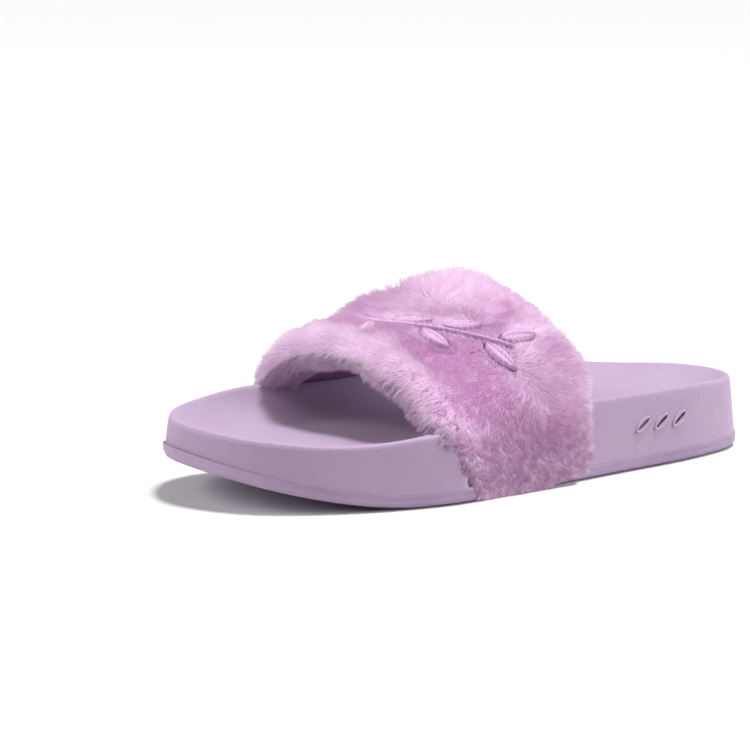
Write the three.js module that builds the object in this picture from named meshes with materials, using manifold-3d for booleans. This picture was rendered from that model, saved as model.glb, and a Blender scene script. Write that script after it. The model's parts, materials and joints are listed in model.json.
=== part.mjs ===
// Open-toe house slide, left foot: a moulded foam sole with a plush strap over the instep.
// Millimetres. +Z up, -Y towards the toes, +X the outer side of the foot.
// The origin is on the ground, under the middle of the sole.
import * as THREE from "three";
import { mergeVertices } from "three/addons/utils/BufferGeometryUtils.js";
import Module from "manifold-3d";

const wasm = await Module();
wasm.setup();

// ---------------------------------------------------------------- driving dimensions

const GAP = 0.3; // clearance between pieces that touch

// Sole
const SOLE_LENGTH = 258;
// The rim line, toe tip first and round by the outer side:
// x, share of the length from the toe, rim height above the ground.
const RIM_LINE = [
  [-9, 0, 32], // toe tip
  [26, 0.068, 29],
  [45.8, 0.209, 26.6], // outer forefoot
  [53, 0.353, 29.5], // outer ball
  [52, 0.422, 31.5],
  [45, 0.578, 33],
  [40, 0.694, 32], // outer waist
  [32.5, 0.868, 31.3],
  [22, 0.965, 30],
  [1.5, 1, 29], // heel back
  [-25, 0.971, 28],
  [-41, 0.888, 27.5],
  [-43, 0.81, 30], // inner heel
  [-40.5, 0.655, 35],
  [-39.8, 0.5, 37], // arch
  [-42.5, 0.337, 35.5],
  [-45, 0.209, 36.5], // inner ball
  [-44.6, 0.097, 32.5],
  [-34, 0.035, 32],
];
const TOE_SPRING = 16.5; // how far the toe tip clears the ground
const SPRING_LENGTH = 79; // from the toe tip back to where the sole touches the ground
const SPRING_CURVE = 1.6;
const OUTSOLE_HEIGHT = 5.4;
const OUTSOLE_ROUND = 3; // rounding of the ground edge
const WALL_DRAFT = 2.2; // the wall leans in this far between the outsole and the rim
const RIM_WIDTH = 3.8; // across the rounded rim
const DISH_REACH = 0.52; // share of the way to the middle line over which the footbed dishes down
const DISH_CURVE = 2.2; // how early the dish flattens out
const DISH_STEPS = 4;
const RIM_SHOULDER = 0.86; // height of the rim's inner edge, between the footbed and the rim
// Height of the footbed's middle above the ground: share of the length from the toe, height.
const FOOTBED = [
  [0, 29],
  [0.1, 24.6],
  [0.24, 22],
  [0.45, 23.2],
  [0.65, 25.6],
  [0.86, 24.6],
  [1, 25.6],
];

// Tread: zigzag grooves across the outsole, with a plain patch under the middle
const GROOVE_DEPTH = 1.5;
const GROOVE_WIDTH = 2.4;
const GROOVE_PITCH = 12;
const ZIGZAG_LENGTH = 18;
const ZIGZAG_HEIGHT = 5;
const TREAD_MARGIN = 9; // plain border round the grooves
const PLAIN_PATCH = 34; // length of the plain patch

// Raised leaf marks on the outer wall near the heel
const MARK_COUNT = 3;
const MARK_LENGTH = 11;
const MARK_WIDTH = 5;
const MARK_PITCH = 10;
const MARK_FROM_TOE = 203; // the middle mark
const MARK_LIFT = 0.8;
const MARK_TILT = 0.6;

// Strap
const STRAP_WIDTH = 61; // toe to heel
const STRAP_FROM_TOE = 109; // middle of the strap, on the sole's centre line
const STRAP_SLANT = 0.36; // the inner side sits this much further forward per millimetre across
const CROWN_X = 0; // the highest line of the strap
const CROWN_FRONT = 51; // inside height over the ground at the front edge
const CROWN_REAR = 63.5; // and at the rear edge
const ARCH_BASE = 12; // where the sides start to curve over, or above the tuck if that is higher
// How square the shoulders of the arch are (2 is an ellipse), at the front and rear edges.
const ROUNDNESS = { outer: [2, 2], inner: [2.4, 3.2] };
const RECESS = { outerFront: 5.5, outerRear: 1.5, innerFront: 3.5, innerRear: 2.5 };
const TUCK_LENGTH = 12; // strap margin held between midsole and outsole
const TUCK_CORNER = 2.5;

const LINING = 1;
const REINFORCEMENT = 0.8;
const FOAM = 2.2;
const PLUSH_SIDE = 7.4; // backing and pile at the sides
const PLUSH_TOP = 11.5; // backing and pile over the crown
const PLUSH_OVERHANG = 4.5; // pile past the strap's front and rear edges
const PLUSH_CLEARANCE = 1.2; // pile ends above the ground
const LIP_DROP = 1.5; // pile hanging below the lining at both edges

const SEAM_WIDTH = 0.9;
const SEAM_INSET = 4; // from the strap's edge

// Embroidered sprig, in the flattened strap: across from the crown line, back from the front edge
const SPRIG_DEPTH = 3.6; // pile left under the embroidery
const THREAD_HEIGHT = 1.5;
const STEM_WIDTH = 2.6;
const CHANNEL_MARGIN = 1.2; // parted pile round the threads
const STEM = [
  [-22, 26],
  [-8, 21],
  [6, 24],
  [19, 33],
  [30, 45],
];
const LEAF_WIDTH = 6;
const LEAF_LENGTH = 14;
const LEAF_PAIRS = 3;
const LEAF_ANGLE = 0.75;

// ---------------------------------------------------------------- small helpers

const lerp = THREE.MathUtils.lerp;
const clamp = THREE.MathUtils.clamp;
const smoothstep = THREE.MathUtils.smoothstep;

// A smooth curve through [position, value] stations.
function throughStations(stations, position) {
  const last = stations.length - 1;
  let i = 0;
  while (i < last - 1 && position > stations[i + 1][0]) i++;
  const [x0, y0] = stations[i];
  const [x1, y1] = stations[i + 1];
  const slope = (k) => {
    const a = stations[Math.max(k - 1, 0)];
    const b = stations[Math.min(k + 1, last)];
    return (b[1] - a[1]) / (b[0] - a[0]);
  };
  const t = clamp((position - x0) / (x1 - x0), 0, 1);
  const h = (x1 - x0) * t * (1 - t);
  return lerp(y0, y1, t * t * (3 - 2 * t)) + h * ((1 - t) * slope(i) - t * slope(i + 1));
}

function signedVolume(points, faces) {
  const cross = new THREE.Vector3();
  return faces.reduce(
    (sum, [a, b, c]) => sum + points[a].dot(cross.crossVectors(points[b], points[c])) / 6,
    0,
  );
}

// A closed solid through rings of equal length. flatten turns a ring's point into the plane
// in which the two end rings are closed.
function loft(rings, flatten) {
  const count = rings[0].length;
  const points = rings.flat();
  const faces = [];
  for (let k = 0; k + 1 < rings.length; k++) {
    for (let i = 0; i < count; i++) {
      const j = (i + 1) % count;
      const [a, b] = [k * count + i, k * count + j];
      faces.push([a, b, b + count], [a, b + count, a + count]);
    }
  }
  const close = (k, alongRing) => {
    const flat = rings[k].map(flatten);
    const ringArea = THREE.ShapeUtils.area(flat);
    for (const face of THREE.ShapeUtils.triangulateShape(flat, [])) {
      const sameWay = THREE.ShapeUtils.area(face.map((i) => flat[i])) * ringArea > 0;
      const corners = face.map((i) => k * count + i);
      faces.push(sameWay === alongRing ? corners : corners.reverse());
    }
  };
  close(0, false);
  close(rings.length - 1, true);
  if (signedVolume(points, faces) < 0) faces.forEach((face) => face.reverse());
  return new THREE.BufferGeometry()
    .setAttribute("position", new THREE.Float32BufferAttribute(points.flatMap((p) => p.toArray()), 3))
    .setIndex(faces.flat());
}

const inPlan = (p) => new THREE.Vector2(p.x, p.y);
const inFront = (p) => new THREE.Vector2(p.x, p.z);

function toSolid(geometry) {
  const bare = geometry.clone();
  bare.deleteAttribute("normal");
  bare.deleteAttribute("uv");
  const merged = mergeVertices(bare, 1e-4);
  return new wasm.Manifold(
    new wasm.Mesh({
      numProp: 3,
      vertProperties: merged.attributes.position.array,
      triVerts: new Uint32Array(merged.index.array),
    }),
  );
}

function toGeometry(solid) {
  const mesh = solid.getMesh();
  return new THREE.BufferGeometry()
    .setAttribute("position", new THREE.Float32BufferAttribute(mesh.vertProperties, 3))
    .setIndex(new THREE.Uint32BufferAttribute(mesh.triVerts, 1))
    .toNonIndexed();
}

// ---------------------------------------------------------------- the sole's outline

const TOE_Y = -SOLE_LENGTH / 2;
const SAMPLES = 84;
const rimCurve = new THREE.CatmullRomCurve3(
  RIM_LINE.map(([x, share, height]) => new THREE.Vector3(x, TOE_Y + share * SOLE_LENGTH, height)),
  true,
  "centripetal",
);

// The middle line that the footbed and the bottom shrink towards.
const spineX = (y) => lerp(RIM_LINE[0][0] / 2, 0, clamp((y - TOE_Y) / SOLE_LENGTH, 0, 1));
const SPINE_END = 38;

const outline = rimCurve
  .getSpacedPoints(SAMPLES)
  .slice(0, SAMPLES)
  .map((point, i) => {
    const tangent = rimCurve.getTangentAt(i / SAMPLES).setZ(0).normalize();
    const spineY = clamp(point.y, TOE_Y + SPINE_END, -TOE_Y - SPINE_END);
    return {
      x: point.x,
      y: point.y,
      rim: point.z,
      inward: new THREE.Vector2(-tangent.y, tangent.x),
      spine: new THREE.Vector2(spineX(spineY), spineY),
      side: i < SAMPLES / 2 ? "outer" : "inner",
    };
  });

const toeLift = (y) =>
  TOE_SPRING * Math.pow(clamp((TOE_Y + SPRING_LENGTH - y) / SPRING_LENGTH, 0, 1), SPRING_CURVE);
const footbedHeight = (y) => throughStations(FOOTBED, (y - TOE_Y) / SOLE_LENGTH);

// A ring of the sole: inset from the outline, then drawn towards the spine by a share.
function soleRing(inset, height, towardsSpine = 0) {
  return outline.map((at) => {
    const across = typeof inset === "function" ? inset(at) : inset;
    const x = lerp(at.x + at.inward.x * across, at.spine.x, towardsSpine);
    const y = lerp(at.y + at.inward.y * across, at.spine.y, towardsSpine);
    return new THREE.Vector3(x, y, height(at, y));
  });
}

// ---------------------------------------------------------------- the strap's surface

const STRAP_Y = TOE_Y + STRAP_FROM_TOE;
// Where a point in plan lies on the strap: 0 on the front edge, 1 on the rear edge.
const strapShare = (x, y) => (y - STRAP_Y - STRAP_SLANT * x) / STRAP_WIDTH + 0.5;

// The sole's edge beside the strap, as a distance from the centre line.
function wallAt(side, share) {
  const edge = outline.filter((at) => at.side === side);
  const nearest = edge.reduce((best, at) =>
    Math.abs(strapShare(at.x, at.y) - share) < Math.abs(strapShare(best.x, best.y) - share) ? at : best,
  );
  const others = edge.filter((at) => at !== nearest);
  const second = others.reduce((best, at) =>
    Math.abs(strapShare(at.x, at.y) - share) < Math.abs(strapShare(best.x, best.y) - share) ? at : best,
  );
  const [a, b] = [strapShare(nearest.x, nearest.y), strapShare(second.x, second.y)];
  return Math.abs(lerp(nearest.x, second.x, (share - a) / (b - a)));
}

const wallEnds = {
  outer: [wallAt("outer", 0) - RECESS.outerFront, wallAt("outer", 1) - RECESS.outerRear],
  inner: [wallAt("inner", 0) - RECESS.innerFront, wallAt("inner", 1) - RECESS.innerRear],
};

const TUCK_DROP = LINING + REINFORCEMENT + GAP;
const tuckHeight = (y) => toeLift(y) + OUTSOLE_HEIGHT + GAP + TUCK_DROP;

// The sides stand upright past the tuck's rounded corner, also at the front, where the sole lifts.
const foremostY = STRAP_Y - STRAP_WIDTH / 2 - STRAP_SLANT * Math.abs(wallEnds.inner[0]);
const archBase = Math.max(ARCH_BASE, tuckHeight(foremostY) + TUCK_CORNER + GAP);

// The strap's inside face at one share from front to rear: where its sides stand and its arch.
function archAt(share) {
  const outer = lerp(...wallEnds.outer, share);
  const inner = lerp(...wallEnds.inner, share);
  return {
    reach: { outer: outer - CROWN_X, inner: inner + CROWN_X },
    rise: lerp(CROWN_FRONT, CROWN_REAR, share) - archBase,
    roundness: { outer: lerp(...ROUNDNESS.outer, share), inner: lerp(...ROUNDNESS.inner, share) },
    y: STRAP_Y + (share - 0.5) * STRAP_WIDTH,
  };
}

// Point and outward normal on the arch, at an angle from the outer side (0) over to the inner (pi).
function onArch(arch, angle) {
  const side = angle <= Math.PI / 2 ? "outer" : "inner";
  const sign = side === "outer" ? 1 : -1;
  const roundness = arch.roundness[side];
  const power = 2 / roundness;
  const across = Math.pow(Math.abs(Math.cos(angle)), power);
  const up = Math.pow(Math.max(Math.sin(angle), 0), power);
  const normal = new THREE.Vector2(
    (sign * Math.pow(across, roundness - 1)) / arch.reach[side],
    Math.pow(up, roundness - 1) / arch.rise,
  ).normalize();
  return { x: CROWN_X + sign * arch.reach[side] * across, z: archBase + arch.rise * up, normal };
}

// How far inside the sole's edge the strap's inside face stands at a height.
function faceInset(at, height) {
  const arch = archAt(clamp(strapShare(at.x, at.y), 0, 1));
  const up = clamp((height - archBase) / arch.rise, 0, 0.999);
  const n = arch.roundness[at.side];
  const reach = arch.reach[at.side] * Math.pow(1 - Math.pow(up, n), 1 / n);
  return Math.abs(at.x - CROWN_X) - reach;
}

const ARCH_STEPS = 22;

// One side below the arch, from the arch downwards: points with their outward normals.
function sideLeg(arch, side, tucked) {
  const sign = side === "outer" ? 1 : -1;
  const x = CROWN_X + sign * arch.reach[side];
  const y = arch.y + STRAP_SLANT * x;
  if (!tucked) return [{ x, z: toeLift(y) + PLUSH_CLEARANCE, normal: new THREE.Vector2(sign, 0) }];
  const corner = [0, 0.5, 1].map((t) => {
    const turn = (t * Math.PI) / 2;
    const normal = new THREE.Vector2(sign * Math.cos(turn), -Math.sin(turn));
    const centre = { x: x - sign * TUCK_CORNER, z: tuckHeight(y) + TUCK_CORNER };
    return { x: centre.x + normal.x * TUCK_CORNER, z: centre.z + normal.y * TUCK_CORNER, normal };
  });
  const end = { x: x - sign * (TUCK_CORNER + TUCK_LENGTH), z: tuckHeight(y) };
  return [...corner, { ...end, normal: new THREE.Vector2(0, -1) }];
}

// The whole path of the strap's inside face at one share, from the outer side to the inner.
function strapPath(share, tucked, steps = ARCH_STEPS) {
  const arch = archAt(share);
  const over = Array.from({ length: steps + 1 }, (_, i) => onArch(arch, (i / steps) * Math.PI));
  return [
    ...sideLeg(arch, "outer", tucked).reverse(),
    ...over,
    ...sideLeg(arch, "inner", tucked),
  ].map((p) => ({ ...p, archY: arch.y }));
}

// A point off the strap's inside face, still in the slanted plane that its share gives.
function offset(p, depth) {
  const x = p.x + p.normal.x * depth;
  return new THREE.Vector3(x, p.archY + STRAP_SLANT * x, p.z + p.normal.y * depth);
}

// A layer of the strap between two depths, which may be functions of the path's point.
function strapLayer({ stations, tucked = true, steps }) {
  const depthOf = (depth, p) => (typeof depth === "function" ? depth(p) : depth);
  const rings = stations.map(({ share, from, to }) => {
    const path = strapPath(share, tucked, steps);
    return [
      ...path.map((p) => offset(p, depthOf(to, p))),
      ...path.map((p) => offset(p, depthOf(from, p))).reverse(),
    ];
  });
  return loft(rings, inFront);
}

const evenly = (from, to, count) =>
  Array.from({ length: count }, (_, i) => lerp(from, to, i / (count - 1)));
const shareOf = (millimetres) => millimetres / STRAP_WIDTH;

// ---------------------------------------------------------------- sole pieces

function outsoleBlank(grow = 0) {
  const bottom = (at, y) => toeLift(y) - grow;
  const top = (at, y) => toeLift(y) + OUTSOLE_HEIGHT + grow;
  const above = (share) => (at, y) => lerp(bottom(at, y), top(at, y), share);
  return loft(
    [
      soleRing(0, top, 0.85),
      soleRing(0, top, 0.4),
      soleRing(-grow, top),
      soleRing(-grow, above(0.5)),
      soleRing(OUTSOLE_ROUND * 0.3 - grow, above(0.18)),
      soleRing(OUTSOLE_ROUND - grow, bottom),
      soleRing(OUTSOLE_ROUND, bottom, 0.4),
      soleRing(OUTSOLE_ROUND, bottom, 0.85),
    ],
    inPlan,
  );
}

function zigzagGroove(y) {
  const reach = Math.max(...RIM_LINE.map(([x]) => Math.abs(x))) + ZIGZAG_LENGTH;
  const turns = Math.ceil((2 * reach) / ZIGZAG_LENGTH);
  const edge = (shift) =>
    Array.from({ length: turns + 1 }, (_, i) => {
      const x = (i - turns / 2) * ZIGZAG_LENGTH;
      return new THREE.Vector2(x, y + (i % 2 ? ZIGZAG_HEIGHT / 2 : -ZIGZAG_HEIGHT / 2) + shift);
    });
  const band = new THREE.Shape([...edge(-GROOVE_WIDTH / 2), ...edge(GROOVE_WIDTH / 2).reverse()]);
  const roof = toeLift(y) + GROOVE_DEPTH;
  return new THREE.ExtrudeGeometry(band, { depth: roof + OUTSOLE_HEIGHT, bevelEnabled: false }).translate(
    0,
    0,
    -OUTSOLE_HEIGHT,
  );
}

function outsole() {
  const field = toSolid(
    loft(
      [soleRing(TREAD_MARGIN, () => -OUTSOLE_HEIGHT), soleRing(TREAD_MARGIN, () => TOE_SPRING + OUTSOLE_HEIGHT)],
      inPlan,
    ),
  );
  let body = toSolid(outsoleBlank());
  const rows = Math.floor(SOLE_LENGTH / 2 / GROOVE_PITCH);
  for (let row = -rows; row <= rows; row++) {
    const y = row * GROOVE_PITCH;
    if (Math.abs(y) < PLAIN_PATCH / 2) continue;
    body = body.subtract(toSolid(zigzagGroove(y)).intersect(field));
  }
  return toGeometry(body);
}

// A raised leaf-shaped mark standing on the outer wall at a distance from the toe.
function wallMark(fromToe) {
  const at = outline
    .filter((p) => p.side === "outer")
    .reduce((best, p) =>
      Math.abs(p.y - TOE_Y - fromToe) < Math.abs(best.y - TOE_Y - fromToe) ? p : best,
    );
  const half = MARK_LENGTH / 2;
  const leaf = new THREE.Shape()
    .moveTo(-half, 0)
    .quadraticCurveTo(0, -MARK_WIDTH, half, 0)
    .quadraticCurveTo(0, MARK_WIDTH, -half, 0);
  const bottom = toeLift(at.y) + OUTSOLE_HEIGHT;
  const height = (bottom + at.rim) / 2;
  const lean = WALL_DRAFT / (at.rim - bottom);
  const out = new THREE.Vector3(-at.inward.x, -at.inward.y, lean).normalize();
  const along = new THREE.Vector3(0, 0, 1).cross(out).normalize();
  const up = out.clone().cross(along);
  const slide = (TOE_Y + fromToe - at.y) / along.y;
  const centre = new THREE.Vector3(at.x + along.x * slide, TOE_Y + fromToe, height);
  centre.addScaledVector(out, MARK_LIFT - WALL_DRAFT / 2);
  const frame = new THREE.Matrix4().makeBasis(along, up, out).setPosition(centre);
  return new THREE.ExtrudeGeometry(leaf, { depth: 3, bevelEnabled: false, curveSegments: 5 })
    .translate(0, 0, -3)
    .rotateZ(MARK_TILT)
    .applyMatrix4(frame);
}

const midsoleBottom = (at, y) => toeLift(y) + OUTSOLE_HEIGHT + GAP;

// The wall's inset at a share of its height: it leans in by its draft, and follows the strap
// beside it.
const wallInset = (share) => (at) => {
  const height = lerp(midsoleBottom(at, at.y), at.rim, share);
  const plain = WALL_DRAFT * share;
  const past = Math.abs(strapShare(at.x, at.y) - 0.5) * 2;
  const beside = 1 - smoothstep(past, 0.95, 1.5);
  return lerp(plain, Math.max(plain, faceInset(at, height) + GAP), beside);
};
const rimInset = (extra) => (at) => wallInset(1)(at) + extra;

// Rings of the midsole from the middle of its bottom out, up the wall and onto the rim.
function wallRings(grow = 0) {
  const lower = (inset) => (at) => inset(at) - grow;
  const upWall = (share, drop = 0) => (at, y) => lerp(midsoleBottom(at, y), at.rim, share) - drop + grow;
  return [
    soleRing(0, midsoleBottom, 0.85),
    soleRing(0, midsoleBottom, 0.4),
    soleRing(1 - grow, midsoleBottom),
    soleRing(0.25 - grow, (at, y) => midsoleBottom(at, y) + 0.9),
    soleRing(lower(wallInset(0.35)), upWall(0.35)),
    soleRing(lower(wallInset(0.65)), upWall(0.65)),
    soleRing(lower(wallInset(0.9)), upWall(0.9)),
    soleRing(rimInset(RIM_WIDTH * 0.16 - grow), upWall(1, 0.6)),
    soleRing(rimInset(RIM_WIDTH * 0.5), upWall(1)),
  ];
}

// The space cut out of the sole for the strap: everything outside its inside face.
function strapRoom() {
  const room = 30; // well past the sole's walls
  const stations = evenly(-shareOf(GAP), 1 + shareOf(GAP), 5);
  return strapLayer({ stations: stations.map((share) => ({ share, from: -GAP, to: room })) });
}

function midsole() {
  const overBed = (share) => (at, y) => lerp(footbedHeight(y), at.rim, share);
  const dish = evenly(0, 1, DISH_STEPS + 1).map((inwards) =>
    soleRing(
      rimInset(RIM_WIDTH),
      overBed(RIM_SHOULDER * Math.pow(1 - inwards, DISH_CURVE)),
      inwards * DISH_REACH,
    ),
  );
  const blank = loft([...wallRings(), ...dish, soleRing(rimInset(RIM_WIDTH), overBed(0), 0.85)], inPlan);
  const middle = (MARK_COUNT - 1) / 2;
  let body = toSolid(blank).subtract(toSolid(strapRoom()));
  for (let i = 0; i < MARK_COUNT; i++) {
    body = body.add(toSolid(wallMark(MARK_FROM_TOE + (i - middle) * MARK_PITCH)));
  }
  return toGeometry(body);
}

// The midsole filled up to its rim and grown by the clearance, which the pile stays out of.
function midsoleKeepOut() {
  const overRim = (at) => at.rim + GAP;
  const filled = loft(
    [...wallRings(GAP), soleRing(rimInset(RIM_WIDTH), overRim, 0.4), soleRing(rimInset(RIM_WIDTH), overRim, 0.85)],
    inPlan,
  );
  return toSolid(filled).subtract(toSolid(strapRoom()));
}

// ---------------------------------------------------------------- strap pieces

const STATIONS = 6;
const liningFace = LINING;
const reinforcementFace = liningFace + GAP + REINFORCEMENT;
const foamFace = reinforcementFace + GAP + FOAM;
const plushBack = foamFace + GAP;

const lining = () =>
  strapLayer({ stations: evenly(0, 1, STATIONS).map((share) => ({ share, from: 0, to: liningFace })) });

const reinforcement = () =>
  strapLayer({
    stations: evenly(0, 1, STATIONS).map((share) => ({
      share,
      from: liningFace + GAP,
      to: reinforcementFace,
    })),
  });

// The foam stops above the sole's outsole on both sides and feathers out there.
function foam() {
  const thickness = (p) => {
    const above = clamp((p.z - archBase) / 14, 0, 1);
    return foamFace - FOAM * 0.4 * (1 - above);
  };
  const stations = evenly(shareOf(1), 1 - shareOf(1), STATIONS).map((share) => ({
    share,
    from: reinforcementFace + GAP,
    to: thickness,
  }));
  const layer = toSolid(strapLayer({ stations, tucked: false }));
  const below = new THREE.BoxGeometry(SOLE_LENGTH, SOLE_LENGTH, archBase * 2);
  return toGeometry(layer.subtract(toSolid(below)));
}

const highestCrown = Math.max(CROWN_FRONT, CROWN_REAR);

// Depth of the tips of the pile: fuller over the crown, drawn in at the ground.
function pileTips(fullness) {
  return (p) => {
    const overCrown = clamp((p.z - archBase) / (highestCrown - archBase), 0, 1);
    const atGround = clamp((p.z - PLUSH_CLEARANCE) / (archBase / 2), 0, 1);
    const plush = lerp(PLUSH_SIDE, PLUSH_TOP, overCrown) * lerp(0.7, 1, atGround);
    return plushBack + plush * fullness;
  };
}

function furShell() {
  const past = shareOf(PLUSH_OVERHANG);
  const edge = shareOf(GAP);
  // Share, lower depth, fullness of the pile: a fat roll at each edge.
  const frontRoll = [
    [-past, plushBack * 0.6, 0.1],
    [-past * 0.86, plushBack * 0.1, 0.5],
    [-past * 0.5, -LIP_DROP, 0.86],
    [-edge * 2, -LIP_DROP, 1],
    [-edge, plushBack, 1],
  ];
  const rearRoll = frontRoll.map(([share, from, full]) => [1 - share, from, full]).reverse();
  const middle = evenly(0.08, 0.92, 6).map((share) => [share, plushBack, 1]);
  const stations = [...frontRoll, ...middle, ...rearRoll].map(([share, from, full]) => ({
    share,
    from,
    to: pileTips(full),
  }));
  let body = toSolid(strapLayer({ stations, tucked: false, steps: 30 }));
  body = body.subtract(toSolid(outsoleBlank(GAP)));
  body = body.subtract(midsoleKeepOut());
  for (const cutter of sprigPieces(CHANNEL_MARGIN).values()) body = body.subtract(toSolid(cutter));
  return toGeometry(body);
}

function edgeSeam(fromShare, firstAngle) {
  const half = shareOf(SEAM_WIDTH) / 2;
  const rings = [fromShare - half, fromShare + half].map((share) => {
    const arch = archAt(share);
    const path = evenly(firstAngle, Math.PI - firstAngle, ARCH_STEPS).map((angle) => ({
      ...onArch(arch, angle),
      archY: arch.y,
    }));
    return [
      ...path.map((p) => offset(p, -GAP)),
      ...path.map((p) => offset(p, -GAP - SEAM_WIDTH * 0.6)).reverse(),
    ];
  });
  return loft(rings, inFront);
}

// ---------------------------------------------------------------- embroidered sprig

// A point of the flattened strap: across from the crown line (outer side positive) and back
// from the front edge, in millimetres.
function onFlatStrap(across, back, depth) {
  const share = shareOf(back);
  const arch = archAt(share);
  const steps = 48;
  const direction = across >= 0 ? -1 : 1;
  let angle = Math.PI / 2;
  let here = onArch(arch, angle);
  let left = Math.abs(across);
  while (left > 0) {
    const next = angle + (direction * Math.PI) / 2 / steps;
    const there = onArch(arch, next);
    const step = Math.hypot(there.x - here.x, there.z - here.z);
    const part = Math.min(left / step, 1);
    angle = lerp(angle, next, part);
    here = onArch(arch, angle);
    left -= step;
  }
  return offset({ ...here, archY: arch.y }, depth);
}

// A flat ribbon of thread along a line of flattened points, with a half width at each share.
function threadRibbon(line, halfWidth, grow) {
  const low = plushBack + SPRIG_DEPTH - (grow > 0 ? GAP : 0);
  const high = grow > 0 ? plushBack + PLUSH_TOP * 2 : low + THREAD_HEIGHT;
  const rings = line.map((point, i) => {
    const before = line[Math.max(i - 1, 0)];
    const after = line[Math.min(i + 1, line.length - 1)];
    const ahead = new THREE.Vector2().subVectors(after, before).normalize();
    const slide = grow * (i === 0 ? -1 : i === line.length - 1 ? 1 : 0);
    const middle = point.clone().addScaledVector(ahead, slide);
    const half = halfWidth(i / (line.length - 1)) + grow;
    const corner = (side, depth) =>
      onFlatStrap(middle.x - ahead.y * half * side, middle.y + ahead.x * half * side, depth);
    return [corner(-1, low), corner(1, low), corner(1, high), corner(-1, high)];
  });
  return loftOpenRibbon(rings);
}

// A ribbon's four-cornered rings, closed at both ends by their two triangles.
function loftOpenRibbon(rings) {
  const points = rings.flat();
  const faces = [];
  for (let k = 0; k + 1 < rings.length; k++) {
    for (let i = 0; i < 4; i++) {
      const [a, b] = [k * 4 + i, k * 4 + ((i + 1) % 4)];
      faces.push([a, b, b + 4], [a, b + 4, a + 4]);
    }
  }
  const end = points.length - 4;
  faces.push([2, 1, 0], [3, 2, 0], [end, end + 1, end + 2], [end, end + 2, end + 3]);
  if (signedVolume(points, faces) < 0) faces.forEach((face) => face.reverse());
  return new THREE.BufferGeometry()
    .setAttribute("position", new THREE.Float32BufferAttribute(points.flatMap((p) => p.toArray()), 3))
    .setIndex(faces.flat());
}

// The stem and its leaves by name; grow widens them into the channels parted in the pile.
function sprigPieces(grow = 0) {
  const stemCurve = new THREE.SplineCurve(STEM.map(([across, back]) => new THREE.Vector2(across, back)));
  const pieces = new Map();
  pieces.set(
    "embroidery_stem",
    threadRibbon(stemCurve.getSpacedPoints(16), (t) => (STEM_WIDTH / 2) * lerp(1, 0.6, t), grow),
  );
  const leafHalf = (t) => Math.max((LEAF_WIDTH / 2) * Math.pow(Math.sin(Math.PI * t), 0.8), 0.4);
  const clear = STEM_WIDTH / 2 + GAP * 3;
  for (let pair = 0; pair < LEAF_PAIRS; pair++) {
    for (const side of [-1, 1]) {
      const along = (pair + 0.6 + side * 0.14) / LEAF_PAIRS;
      const root = stemCurve.getPointAt(Math.min(along, 1));
      const tangent = stemCurve.getTangentAt(Math.min(along, 1));
      const heading = Math.atan2(tangent.y, tangent.x) + side * LEAF_ANGLE;
      const out = new THREE.Vector2(Math.cos(heading), Math.sin(heading));
      const start = clear / Math.sin(LEAF_ANGLE);
      const line = evenly(start, start + LEAF_LENGTH, 7).map((r) => root.clone().addScaledVector(out, r));
      const name = `embroidery_leaf_${pair * 2 + (side + 3) / 2}`;
      pieces.set(name, threadRibbon(line, leafHalf, grow));
    }
  }
  return pieces;
}

// ---------------------------------------------------------------- the assembly

const finishes = {
  sole: { color: 0xc9aed2, roughness: 0.55 },
  outsole: { color: 0xb594c4, roughness: 0.6 },
  lining: { color: 0x8f6a98, roughness: 0.9 },
  hidden: { color: 0xd9cfe0, roughness: 0.95 },
  plush: { color: 0xd79fd8, roughness: 1 },
  thread: { color: 0xb583c4, roughness: 0.45 },
};

const slide = new THREE.Group();

function addPiece(name, geometry, finish) {
  const material = new THREE.MeshStandardMaterial({ ...finishes[finish], metalness: 0 });
  const mesh = new THREE.Mesh(geometry, material);
  mesh.geometry.computeVertexNormals();
  mesh.name = name;
  slide.add(mesh);
}

addPiece("outsole", outsole(), "outsole");
addPiece("midsole_footbed", midsole(), "sole");
addPiece("strap_lining", lining(), "lining");
addPiece("strap_reinforcement", reinforcement(), "hidden");
addPiece("strap_foam", foam(), "hidden");
addPiece("fur_shell", furShell(), "plush");
addPiece("front_edge_stitching", edgeSeam(shareOf(SEAM_INSET), 1.05), "thread");
addPiece("rear_edge_stitching", edgeSeam(1 - shareOf(SEAM_INSET), 0.8), "thread");
for (const [name, geometry] of sprigPieces()) addPiece(name, geometry, "thread");

export default slide;
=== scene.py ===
"""An open-toe house slide, left foot: a moulded foam sole with a plush strap over the instep.

Metres, +Z up, -Y towards the toes, +X the outer side of the foot.
"""
from __future__ import annotations

import json
import logging
import math
from collections.abc import Callable
from dataclasses import dataclass, field
from enum import Enum

import bmesh
import bpy
import numpy as np
from mathutils import Matrix, Vector, kdtree, noise
from mathutils.bvhtree import BVHTree

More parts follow.
